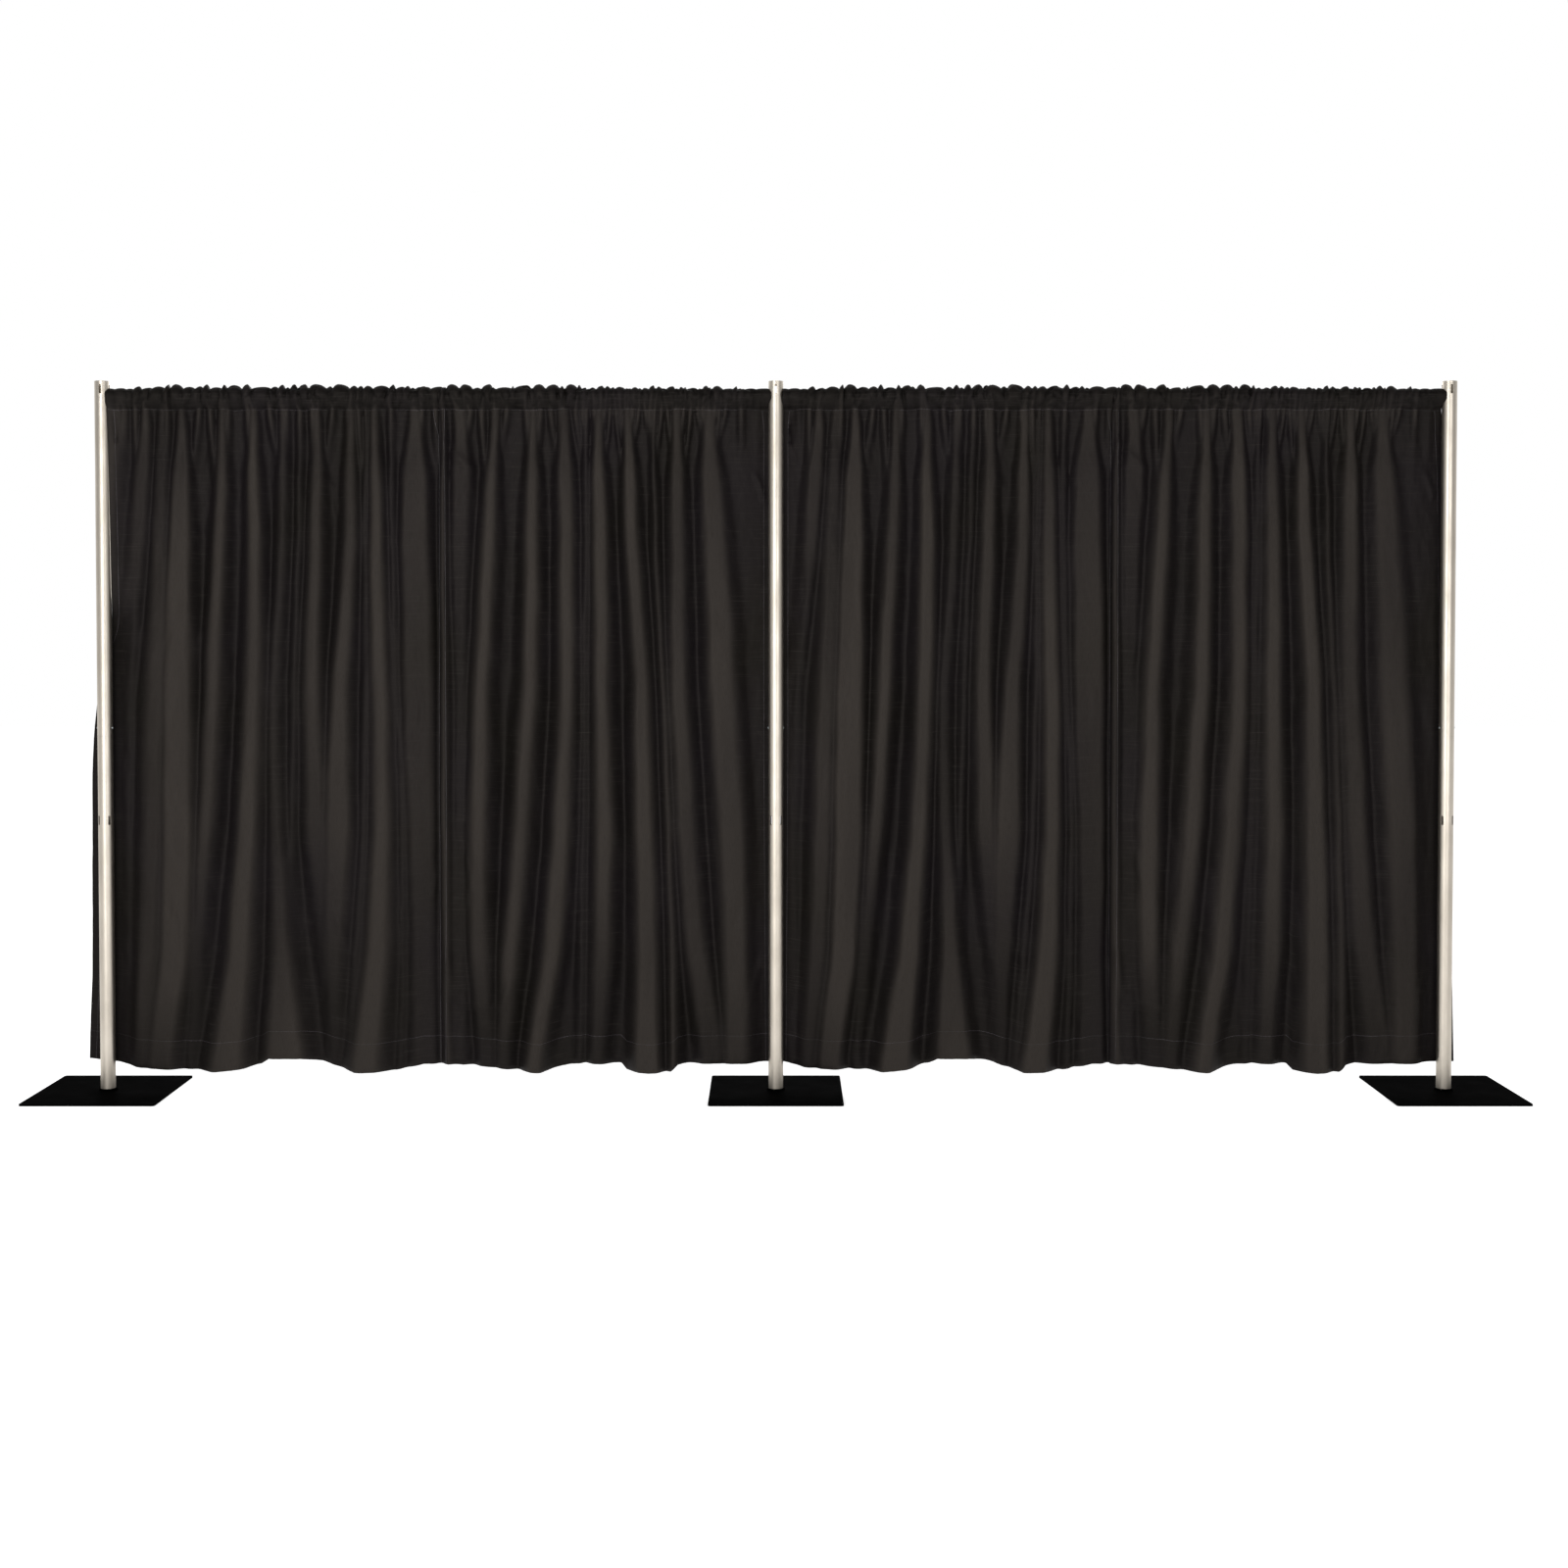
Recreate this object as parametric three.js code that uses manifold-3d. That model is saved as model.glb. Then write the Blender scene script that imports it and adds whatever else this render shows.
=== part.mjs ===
// Pipe and drape backdrop: two bays of gathered black cloth, hung on telescoping crossbars between
// three two-piece aluminium uprights that stand on square steel base plates.
// Millimetres, +Z up. X runs along the backdrop, the front faces -Y, and the origin is on the floor
// under the centre upright.

import * as THREE from 'three';
import { mergeVertices } from 'three/addons/utils/BufferGeometryUtils.js';
import Module from 'manifold-3d';

const wasm = await Module();
wasm.setup();

// Fits and facets of round faces
const SEAT_GAP = 0.3;          // left between faces that rest on each other
const CUT_OVERRUN = 2;         // how far a cutter runs past the face it cuts
const WELD_DISTANCE = 0.0005;  // points closer than this are one point
const TUBE_SIDES = 24;
const SMALL_SIDES = 12;
const RIVET_SIDES = 8;
const NUT_SIDES = 6;

// The run of the backdrop
const BAY_SPACING = 2314;      // from the axis of one upright to the next

// Upright tubes
const SECTION_LENGTH = 1219.2; // each of the two tubes of an upright
const POLE_DIAMETER = 50.8;
const POLE_WALL = 1.65;
const SLOT_WIDTH = 8.25;
const SLOT_HEIGHT = 31;
const SLOT_CORNER = 1.6;
const SLOTS_AROUND = 4;
const TOP_SLOT_MARGIN = 12;    // from a tube's top end to the top of its upper slots
const LOW_SLOT_SEAT = 914.4;   // from the upright's foot to the bottom of its table-height slots

// Base plate
const PLATE_SIZE = 457.2;
const PLATE_THICKNESS = 6.35;
const PLATE_CORNER = 10;
const PLATE_EDGE = 0.8;

// Base pin and the bolt that holds it to the plate
const PIN_FLANGE_DIAMETER = 63;
const PIN_FLANGE_THICKNESS = 6;
const PIN_LENGTH = 150;
const PIN_WALL = 3;
const PIN_FLOOR = 6;
const PIN_CHAMFER = 4;
const BOLT_DIAMETER = 12;
const BOLT_HEAD_DIAMETER = 23;
const BOLT_HEAD_RIM = 0.5;
const BOLT_TAIL = 3;
const BOLT_CLEARANCE = 0.45;
const NUT_WIDTH = 18;
const NUT_HEIGHT = 10;

// Coupler sleeve, spring and buttons at the middle joint
const SLEEVE_LENGTH = 200;
const SLEEVE_WALL = 2;
const BUTTON_RISE_ABOVE_JOINT = 29;
const BUTTON_DIAMETER = 8.6;
const BUTTON_STAND_OUT = 3;
const BUTTON_FLANGE_DIAMETER = 12;
const BUTTON_FLANGE_THICKNESS = 1.5;
const BUTTON_HOLE_CLEARANCE = 0.5;
const SPRING_THICKNESS = 0.8;
const SPRING_WIDTH = 9;
const SPRING_DROP = 70;
const SPRING_PAD_LENGTH = 20;
const SPRING_BEND_RADIUS = 7;

// Telescoping crossbar
const BAR_DIAMETER = 38.1;
const BAR_WALL = 1.6;
const INNER_BAR_DIAMETER = 31.8;
const BAR_OVERLAP = 1030;      // how much of the inner tube lies inside the outer one
const BAR_STANDOFF = 7;        // from an upright's side to the end of the bar's tube
const BAR_DROP = 4.65;         // the bar's axis lies this far below the bottom of the top slots
const BUSHING_LENGTH = 22;
const BUSHING_FLANGE = 3;
const GLIDE_PLUG_LENGTH = 20;
const GLIDE_RIM = 3;
const GLIDE_BORE_DIAMETER = 18;

// Hook blades and their rivets
const HOOK_THICKNESS = 4.8;
const HOOK_NECK_HEIGHT = 12;
const HOOK_LIP_WIDTH = 5.8;
const HOOK_LIP_DEPTH = 12.5;
const HOOK_ROUND = 5;
const HOOK_TIP_CHAMFER = 2;
const HOOK_ROOT_LENGTH = 58;   // the part of the blade inside the bar
const RIVET_DIAMETER = 4.8;
const RIVET_CHAMFER = 0.6;
const RIVET_PLACES = [16, 42]; // from the bar's end
const RIVET_RECESS = 0.25;     // the rivet ends lie this far under the bar's surface

// Drape panels
const CLOTH_THICKNESS = 3;
const STITCH_DROP = 47;        // from the bar's axis down to the pocket's stitch line
const POCKET_BOTTOM_DROP = 36; // from the bar's axis down to the bottom of the pocket's inside
const HEM_HEIGHT = 62;         // the hem's clearance above the floor
const POLE_SIDE_GAP = 2;       // from an upright's side to the pocket's end
const SEAM_GAP = 3;            // between the two panels of a bay
const FOLD_DEPTH = 40;         // how far a fold swings to either side at the hem
const BEHIND_POLE = 35;        // how far behind the bar a panel hangs where it meets an upright
const SETTLE_WIDTH = 95;       // from an upright's side, over which the folds come to that place
const RUFFLE_RISE = 3;
const FOLDS_PER_PANEL = 6;
const WANDERS_PER_PANEL = 2;     // how often the folds wander to either side across a panel
const SWELLS_PER_PANEL = 1.5;    // how often they grow shallow across it
const SHALLOW_SHARE = 0.72;      // the depth of the shallowest folds, as a share of the deepest
const STATIONS_PER_PANEL = 34;

// Heights that follow from the sizes above
const POLE_RADIUS = POLE_DIAMETER / 2;
const POLE_BORE = POLE_RADIUS - POLE_WALL;
const PIN_Z = PLATE_THICKNESS + SEAT_GAP;
const FOOT_Z = PIN_Z + PIN_FLANGE_THICKNESS + SEAT_GAP;
const JOINT_Z = FOOT_Z + SECTION_LENGTH;
const UPPER_Z = JOINT_Z + SEAT_GAP;
const TOP_SLOT_Z = UPPER_Z + SECTION_LENGTH - TOP_SLOT_MARGIN - SLOT_HEIGHT;
const BUTTON_Z = UPPER_Z + BUTTON_RISE_ABOVE_JOINT;
const BAR_Z = TOP_SLOT_Z - BAR_DROP;

// Lengths along the crossbar that follow from the sizes above, from the upright at either end
const BAR_RADIUS = BAR_DIAMETER / 2;
const BAR_BORE = BAR_RADIUS - BAR_WALL;
const INNER_BAR_RADIUS = INNER_BAR_DIAMETER / 2;
const INNER_BAR_BORE = INNER_BAR_RADIUS - BAR_WALL;
const BAR_END = POLE_RADIUS + BAR_STANDOFF;
const BAR_LENGTH = (BAY_SPACING - 2 * BAR_END + BAR_OVERLAP) / 2;

const FULL_TURN = 2 * Math.PI;
const QUARTER_TURN = Math.PI / 2;

const aluminium = { color: 0xc9c7c1, metalness: 0.9, roughness: 0.34 };
const blackSteel = { color: 0x0b0b0c, metalness: 0.3, roughness: 0.6 };
const zincSteel = { color: 0x9da1a3, metalness: 0.85, roughness: 0.42 };
const springSteel = { color: 0x5d6063, metalness: 0.9, roughness: 0.35 };
const nylon = { color: 0x1b1c1d, metalness: 0, roughness: 0.55 };
const blackCloth = { color: 0x1e1b1a, metalness: 0, roughness: 0.8, side: THREE.DoubleSide };

// The flat sides of a faceted circle lie a little inside the circle through its corners.
function flatRadius(radius, sides) {
  return radius * Math.cos(Math.PI / sides);
}

// The corner radius of a piece that seats inside a faceted bore.
function seatedInside(bore, boreSides) {
  return flatRadius(bore, boreSides) - SEAT_GAP;
}

// The corner radius of a faceted bore that seats round a piece.
function seatedAround(radius, boreSides, gap = SEAT_GAP) {
  return (radius + gap) / Math.cos(Math.PI / boreSides);
}

// A solid of revolution about Z. The profile is a list of [radius, height], outer side upwards.
function turned(profile, sides) {
  const points = profile.map(([radius, height]) => new THREE.Vector2(radius, height));
  const geometry = new THREE.LatheGeometry(points, sides);
  geometry.rotateX(QUARTER_TURN);
  return geometry;
}

function ring(inner, outer, length, sides) {
  return turned([[inner, 0], [outer, 0], [outer, length], [inner, length], [inner, 0]], sides);
}

function rod(radius, length, sides) {
  return turned([[0, 0], [radius, 0], [radius, length], [0, length]], sides);
}

// A closed geometry as a solid that can be cut, with its collapsed triangles left out.
function toSolid(geometry) {
  const bare = geometry.clone();
  bare.deleteAttribute('normal');
  bare.deleteAttribute('uv');
  const merged = mergeVertices(bare, WELD_DISTANCE);
  const corners = merged.index.array;
  const kept = [];
  for (let i = 0; i < corners.length; i += 3) {
    const [a, b, c] = [corners[i], corners[i + 1], corners[i + 2]];
    if (a !== b && b !== c && c !== a) kept.push(a, b, c);
  }
  return new wasm.Manifold(new wasm.Mesh({
    numProp: 3,
    vertProperties: new Float32Array(merged.attributes.position.array),
    triVerts: new Uint32Array(kept),
  }));
}

function toGeometry(solid) {
  const mesh = solid.getMesh();
  const geometry = new THREE.BufferGeometry();
  geometry.setAttribute('position', new THREE.BufferAttribute(mesh.vertProperties, 3));
  geometry.setIndex(new THREE.BufferAttribute(mesh.triVerts, 1));
  const flat = geometry.toNonIndexed();
  flat.computeVertexNormals();
  return flat;
}

function cut(geometry, cutters) {
  let solid = toSolid(geometry);
  for (const cutter of cutters) solid = solid.subtract(toSolid(cutter));
  return toGeometry(solid);
}

function finish(look) {
  return new THREE.MeshStandardMaterial(look);
}

function piece(name, geometry, look) {
  const mesh = new THREE.Mesh(geometry, finish(look));
  mesh.name = name;
  return mesh;
}

// A rectangle with rounded corners, about the origin.
function roundedRectangle(width, height, corner) {
  const x = width / 2 - corner;
  const y = height / 2 - corner;
  const outline = new THREE.Shape();
  outline.absarc(x, y, corner, 0, QUARTER_TURN);
  outline.absarc(-x, y, corner, QUARTER_TURN, Math.PI);
  outline.absarc(-x, -y, corner, Math.PI, Math.PI + QUARTER_TURN);
  outline.absarc(x, -y, corner, Math.PI + QUARTER_TURN, FULL_TURN);
  return outline;
}

// A slot cutter through one wall of an upright tube, its bottom at the given height.
function slotCutter(bottom, angle) {
  const outline = roundedRectangle(SLOT_WIDTH, SLOT_HEIGHT, SLOT_CORNER);
  const depth = POLE_RADIUS + CUT_OVERRUN;
  const cutter = new THREE.ExtrudeGeometry(outline, { depth, bevelEnabled: false, curveSegments: 1 });
  cutter.rotateX(QUARTER_TURN);
  cutter.rotateZ(angle + QUARTER_TURN);
  cutter.translate(0, 0, bottom + SLOT_HEIGHT / 2);
  return cutter;
}

function slotRing(bottom, firstAngle) {
  const cutters = [];
  for (let i = 0; i < SLOTS_AROUND; i += 1) {
    cutters.push(slotCutter(bottom, firstAngle + (i * FULL_TURN) / SLOTS_AROUND));
  }
  return cutters;
}

// A round cutter right through a tube along X, at the given height.
function crossBore(radius, reach, height) {
  const cutter = rod(radius, 2 * reach, SMALL_SIDES);
  cutter.translate(0, 0, -reach);
  cutter.rotateY(QUARTER_TURN);
  cutter.translate(0, 0, height);
  return cutter;
}

function buttonBore(height) {
  const radius = (BUTTON_DIAMETER / 2 + BUTTON_HOLE_CLEARANCE) / Math.cos(Math.PI / SMALL_SIDES);
  return crossBore(radius, POLE_RADIUS + CUT_OVERRUN, height);
}

// The lower tube stands an eighth of a turn round from the upper one.
function lowerTube() {
  const tube = ring(POLE_BORE, POLE_RADIUS, SECTION_LENGTH, TUBE_SIDES);
  return cut(tube, slotRing(LOW_SLOT_SEAT, FULL_TURN / (2 * SLOTS_AROUND)));
}

function upperTube() {
  const tube = ring(POLE_BORE, POLE_RADIUS, SECTION_LENGTH, TUBE_SIDES);
  return cut(tube, [...slotRing(TOP_SLOT_Z - UPPER_Z, 0), buttonBore(BUTTON_RISE_ABOVE_JOINT)]);
}

const SLEEVE_RADIUS = seatedInside(POLE_BORE, TUBE_SIDES);
const SLEEVE_BORE = SLEEVE_RADIUS - SLEEVE_WALL;

function couplerSleeve() {
  const sleeve = ring(SLEEVE_BORE, SLEEVE_RADIUS, SLEEVE_LENGTH, TUBE_SIDES);
  return cut(sleeve, [buttonBore(SLEEVE_LENGTH / 2 + BUTTON_Z - JOINT_Z)]);
}

// Where the button's flange rests inside the sleeve, from the upright's axis.
const BUTTON_FLANGE_OUT = Math.sqrt(
  flatRadius(SLEEVE_BORE, TUBE_SIDES) ** 2 - (BUTTON_FLANGE_DIAMETER / 2) ** 2,
) - SEAT_GAP;
const BUTTON_FLANGE_IN = BUTTON_FLANGE_OUT - BUTTON_FLANGE_THICKNESS;

// A domed button with a flange, standing along Z from the upright's axis.
function button() {
  const radius = BUTTON_DIAMETER / 2;
  const flange = BUTTON_FLANGE_DIAMETER / 2;
  const profile = [
    [0, BUTTON_FLANGE_IN],
    [flange, BUTTON_FLANGE_IN],
    [flange, BUTTON_FLANGE_OUT],
    [radius, BUTTON_FLANGE_OUT],
  ];
  const domeSteps = 2;
  for (let i = 0; i <= domeSteps; i += 1) {
    const angle = (QUARTER_TURN * i) / domeSteps;
    const height = POLE_RADIUS + BUTTON_STAND_OUT * Math.sin(angle);
    profile.push([i < domeSteps ? radius * Math.cos(angle) : 0, height]);
  }
  return turned(profile, SMALL_SIDES);
}

// The outline of a bent strip, offset to both sides of its centre line.
function stripOutline(centreLine, thickness) {
  const sides = [[], []];
  centreLine.forEach((point, i) => {
    const before = centreLine[Math.max(i - 1, 0)];
    const after = centreLine[Math.min(i + 1, centreLine.length - 1)];
    const along = after.clone().sub(before).normalize();
    const across = new THREE.Vector2(-along.y, along.x).multiplyScalar(thickness / 2);
    sides[0].push(point.clone().add(across));
    sides[1].push(point.clone().sub(across));
  });
  return new THREE.Shape([...sides[0], ...sides[1].reverse()]);
}

// A U-shaped leaf spring whose upright pads press the two buttons outwards.
function buttonSpring() {
  const padX = BUTTON_FLANGE_IN - SEAT_GAP - SPRING_THICKNESS / 2;
  const half = SPRING_PAD_LENGTH / 2;
  const right = [];
  const bendSteps = 4;
  for (let i = 1; i <= bendSteps; i += 1) {
    const angle = (QUARTER_TURN * i) / bendSteps;
    right.push(new THREE.Vector2(
      SPRING_BEND_RADIUS * Math.sin(angle),
      SPRING_BEND_RADIUS * (1 - Math.cos(angle)) - SPRING_DROP,
    ));
  }
  right.push(new THREE.Vector2(padX, -half), new THREE.Vector2(padX, half));
  const left = right.map((point) => new THREE.Vector2(-point.x, point.y)).reverse();
  const centreLine = [...left, new THREE.Vector2(0, -SPRING_DROP), ...right];
  const outline = stripOutline(centreLine, SPRING_THICKNESS);
  const spring = new THREE.ExtrudeGeometry(outline, { depth: SPRING_WIDTH, bevelEnabled: false });
  spring.translate(0, 0, -SPRING_WIDTH / 2);
  spring.rotateX(QUARTER_TURN);
  return spring;
}

const BOLT_RADIUS = BOLT_DIAMETER / 2;
const BOLT_HEAD_RADIUS = BOLT_HEAD_DIAMETER / 2;
const BOLT_CONE = BOLT_HEAD_RADIUS - BOLT_RADIUS; // a right-angled countersunk head
const BOLT_REACH = PIN_Z + PIN_FLOOR + SEAT_GAP + NUT_HEIGHT + BOLT_TAIL;

function pinBolt() {
  return turned([
    [0, SEAT_GAP],
    [BOLT_HEAD_RADIUS, SEAT_GAP],
    [BOLT_HEAD_RADIUS, SEAT_GAP + BOLT_HEAD_RIM],
    [BOLT_RADIUS, SEAT_GAP + BOLT_HEAD_RIM + BOLT_CONE],
    [BOLT_RADIUS, BOLT_REACH],
    [0, BOLT_REACH],
  ], SMALL_SIDES);
}

// The radius of a hole that clears the bolt, for a radius of the bolt's own.
function boltHole(radius) {
  return seatedAround(radius, SMALL_SIDES, BOLT_CLEARANCE);
}

// A square plate with eased edges and a countersunk hole in its underside.
function basePlate() {
  const flat = PLATE_SIZE - 2 * PLATE_EDGE;
  const outline = roundedRectangle(flat, flat, PLATE_CORNER - PLATE_EDGE);
  const plate = new THREE.ExtrudeGeometry(outline, {
    depth: PLATE_THICKNESS - 2 * PLATE_EDGE,
    bevelThickness: PLATE_EDGE,
    bevelSize: PLATE_EDGE,
    bevelSegments: 1,
    curveSegments: 2,
  });
  plate.translate(0, 0, PLATE_EDGE);
  const countersink = turned([
    [0, -CUT_OVERRUN],
    [boltHole(BOLT_HEAD_RADIUS), -CUT_OVERRUN],
    [boltHole(BOLT_HEAD_RADIUS), SEAT_GAP + BOLT_HEAD_RIM],
    [boltHole(BOLT_RADIUS), SEAT_GAP + BOLT_HEAD_RIM + BOLT_CONE],
    [boltHole(BOLT_RADIUS), PLATE_THICKNESS + CUT_OVERRUN],
    [0, PLATE_THICKNESS + CUT_OVERRUN],
  ], SMALL_SIDES);
  return cut(plate, [countersink]);
}

// A flanged spigot, open at its top, with a chamfered lead-in for the tube that drops over it.
function basePin() {
  const flange = PIN_FLANGE_DIAMETER / 2;
  const outer = seatedInside(POLE_BORE, TUBE_SIDES);
  const inner = outer - PIN_WALL;
  const top = PIN_FLANGE_THICKNESS + PIN_LENGTH;
  const hole = boltHole(BOLT_RADIUS);
  return turned([
    [hole, 0],
    [flange, 0],
    [flange, PIN_FLANGE_THICKNESS],
    [outer, PIN_FLANGE_THICKNESS],
    [outer, top - PIN_CHAMFER],
    [outer - PIN_WALL / 2, top],
    [inner, top],
    [inner, PIN_FLOOR],
    [hole, PIN_FLOOR],
    [hole, 0],
  ], TUBE_SIDES);
}

function pinNut() {
  const outline = new THREE.Shape();
  const corner = NUT_WIDTH / 2 / Math.cos(Math.PI / NUT_SIDES);
  for (let i = 0; i < NUT_SIDES; i += 1) {
    const angle = (FULL_TURN * i) / NUT_SIDES;
    const point = [corner * Math.cos(angle), corner * Math.sin(angle)];
    if (i === 0) outline.moveTo(...point);
    else outline.lineTo(...point);
  }
  outline.closePath();
  const hole = new THREE.Path();
  hole.absarc(0, 0, seatedAround(BOLT_RADIUS, SMALL_SIDES), 0, FULL_TURN, true);
  outline.holes.push(hole);
  const curveSegments = SMALL_SIDES / 2;
  return new THREE.ExtrudeGeometry(outline, { depth: NUT_HEIGHT, bevelEnabled: false, curveSegments });
}

// One upright on its base, about its own axis.
function stand(side) {
  const group = new THREE.Group();
  const add = (name, geometry, look, z = 0) => {
    const mesh = piece(`${side}_${name}`, geometry, look);
    mesh.position.z = z;
    group.add(mesh);
    return mesh;
  };
  add('base_plate', basePlate(), blackSteel);
  add('base_pin', basePin(), blackSteel, PIN_Z);
  add('pin_bolt', pinBolt(), zincSteel);
  add('pin_nut', pinNut(), zincSteel, PIN_Z + PIN_FLOOR + SEAT_GAP);
  add('lower_tube', lowerTube(), aluminium, FOOT_Z);
  add('coupler_sleeve', couplerSleeve(), aluminium, JOINT_Z - SLEEVE_LENGTH / 2);
  add('upper_tube', upperTube(), aluminium, UPPER_Z);
  add('button_spring', buttonSpring(), springSteel, BUTTON_Z);
  add('button_right', button(), zincSteel, BUTTON_Z).rotation.y = QUARTER_TURN;
  add('button_left', button(), zincSteel, BUTTON_Z).rotation.y = -QUARTER_TURN;
  return group;
}

// A crossbar tube from its hook end at zero towards +X, with the cross holes for its rivets.
function barTube(radius) {
  const tube = ring(radius - BAR_WALL, radius, BAR_LENGTH, TUBE_SIDES);
  const hole = seatedAround(RIVET_DIAMETER / 2, SMALL_SIDES);
  const cutters = RIVET_PLACES.map((place) => crossBore(hole, radius + CUT_OVERRUN, place));
  const drilled = cut(tube, cutters);
  drilled.rotateZ(QUARTER_TURN);
  drilled.rotateY(QUARTER_TURN);
  return drilled;
}

// The half height of a hook's root that seats in a bar's bore.
function rootHalfHeight(bore) {
  return Math.sqrt(seatedInside(bore, TUBE_SIDES) ** 2 - (HOOK_THICKNESS / 2) ** 2);
}

// A flat steel hook, from its lip inside the upright to its root inside the bar. Its outline lies
// in X and Z, with X from the upright's axis and Z from the bar's axis.
function hookBlade(bore) {
  const seat = BAR_DROP + SEAT_GAP;
  const neckTop = seat + HOOK_NECK_HEIGHT;
  const rootHalf = rootHalfHeight(bore);
  const rootEnd = BAR_END + HOOK_ROOT_LENGTH;
  const halfThickness = HOOK_THICKNESS / 2;
  const lipOut = Math.sqrt(flatRadius(POLE_BORE, TUBE_SIDES) ** 2 - halfThickness ** 2) - SEAT_GAP;
  const lipIn = lipOut - HOOK_LIP_WIDTH;
  const lipBottom = seat - HOOK_LIP_DEPTH;
  const shoulder = POLE_RADIUS + SEAT_GAP;
  const outline = new THREE.Shape();
  outline.moveTo(lipIn, lipBottom + HOOK_TIP_CHAMFER);
  outline.lineTo(lipIn + HOOK_TIP_CHAMFER, lipBottom);
  outline.lineTo(lipOut, lipBottom);
  outline.lineTo(lipOut, seat);
  outline.lineTo(shoulder, seat);
  outline.lineTo(shoulder, -rootHalf / 2);
  outline.lineTo(BAR_END, -rootHalf);
  outline.lineTo(rootEnd, -rootHalf);
  outline.lineTo(rootEnd, rootHalf);
  outline.lineTo(BAR_END, rootHalf);
  outline.lineTo(shoulder, neckTop);
  outline.absarc(lipIn + HOOK_ROUND, neckTop - HOOK_ROUND, HOOK_ROUND, QUARTER_TURN, Math.PI);
  outline.closePath();
  for (const place of RIVET_PLACES) {
    const hole = new THREE.Path();
    const radius = seatedAround(RIVET_DIAMETER / 2, SMALL_SIDES);
    hole.absarc(BAR_END + place, 0, radius, 0, FULL_TURN, true);
    outline.holes.push(hole);
  }
  const curveSegments = SMALL_SIDES / 2;
  const options = { depth: HOOK_THICKNESS, bevelEnabled: false, curveSegments };
  const blade = new THREE.ExtrudeGeometry(outline, options);
  blade.translate(0, 0, -HOOK_THICKNESS / 2);
  blade.rotateX(QUARTER_TURN);
  return blade;
}

// A flush rivet along Y.
function rivet(barRadius) {
  const radius = RIVET_DIAMETER / 2;
  const half = Math.sqrt(flatRadius(barRadius, TUBE_SIDES) ** 2 - radius ** 2) - RIVET_RECESS;
  const shank = turned([
    [0, -half],
    [radius - RIVET_CHAMFER, -half],
    [radius, RIVET_CHAMFER - half],
    [radius, half - RIVET_CHAMFER],
    [radius - RIVET_CHAMFER, half],
    [0, half],
  ], RIVET_SIDES);
  shank.rotateX(QUARTER_TURN);
  return shank;
}

// The flanged bush in the mouth of the outer bar, in which the inner bar slides, along +X.
function mouthBushing() {
  const inner = seatedAround(INNER_BAR_RADIUS, TUBE_SIDES);
  const outer = seatedInside(BAR_BORE, TUBE_SIDES);
  const bush = turned([
    [inner, -BUSHING_LENGTH],
    [outer, -BUSHING_LENGTH],
    [outer, SEAT_GAP],
    [BAR_RADIUS, SEAT_GAP],
    [BAR_RADIUS, SEAT_GAP + BUSHING_FLANGE],
    [inner, SEAT_GAP + BUSHING_FLANGE],
    [inner, -BUSHING_LENGTH],
  ], TUBE_SIDES);
  bush.rotateZ(QUARTER_TURN);
  bush.rotateY(QUARTER_TURN);
  return bush;
}

// The plug on the inner bar's hidden end, which glides in the outer bar. Its rim points to +X.
function innerGlide() {
  const plug = seatedInside(INNER_BAR_BORE, TUBE_SIDES);
  const rim = seatedInside(BAR_BORE, TUBE_SIDES);
  const bore = GLIDE_BORE_DIAMETER / 2;
  const glide = turned([
    [bore, -GLIDE_PLUG_LENGTH],
    [plug, -GLIDE_PLUG_LENGTH],
    [plug, SEAT_GAP],
    [rim, SEAT_GAP],
    [rim, SEAT_GAP + GLIDE_RIM],
    [bore, SEAT_GAP + GLIDE_RIM],
    [bore, -GLIDE_PLUG_LENGTH],
  ], TUBE_SIDES);
  glide.rotateZ(QUARTER_TURN);
  glide.rotateY(QUARTER_TURN);
  return glide;
}

// A crossbar half about the upright that carries it, its tube running towards +X from that upright.
function barHalf(side, end, radius) {
  const group = new THREE.Group();
  group.position.z = BAR_Z;
  const add = (name, geometry, look, x = 0) => {
    const mesh = piece(`${side}_${name}`, geometry, look);
    mesh.position.x = x;
    group.add(mesh);
  };
  const inboard = end === 'inboard';
  add(`${end}_hook`, hookBlade(radius - BAR_WALL), zincSteel);
  RIVET_PLACES.forEach((place, i) => {
    add(`${end}_rivet_${i + 1}`, rivet(radius), zincSteel, BAR_END + place);
  });
  add(inboard ? 'bar_outer_tube' : 'bar_inner_tube', barTube(radius), aluminium, BAR_END);
  if (inboard) add('mouth_bushing', mouthBushing(), nylon, BAR_END + BAR_LENGTH);
  else add('inner_glide', innerGlide(), nylon, BAR_END + BAR_LENGTH);
  return group;
}

// Levels down a panel: the share of the drop below the stitch line, of the full fold depth, and of
// the distance that an edge at an upright stands behind the bar.
const CLOTH_LEVELS = [
  { dropShare: 0, depthShare: 0.1, behindShare: 0 },
  { dropShare: 0.07, depthShare: 0.45, behindShare: 1 },
  { dropShare: 0.42, depthShare: 0.8, behindShare: 1 },
  { dropShare: 1, depthShare: 1, behindShare: 1 },
];
const WANDER_SHARE = 0.16;       // of one fold's width, by which the folds wander to either side
const POCKET_SIDES = 8;
const POCKET_SHAPE_SHARES = [    // the pocket's inside, as shares of its radius, from its top
  [0, 1], [-0.707, 0.707], [-1, 0], [-0.62, -0.95],
];

function mix(from, to, share) {
  return from + (to - from) * share;
}

function smooth(share) {
  const t = Math.min(Math.max(share, 0), 1);
  return t * t * (3 - 2 * t);
}

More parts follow.
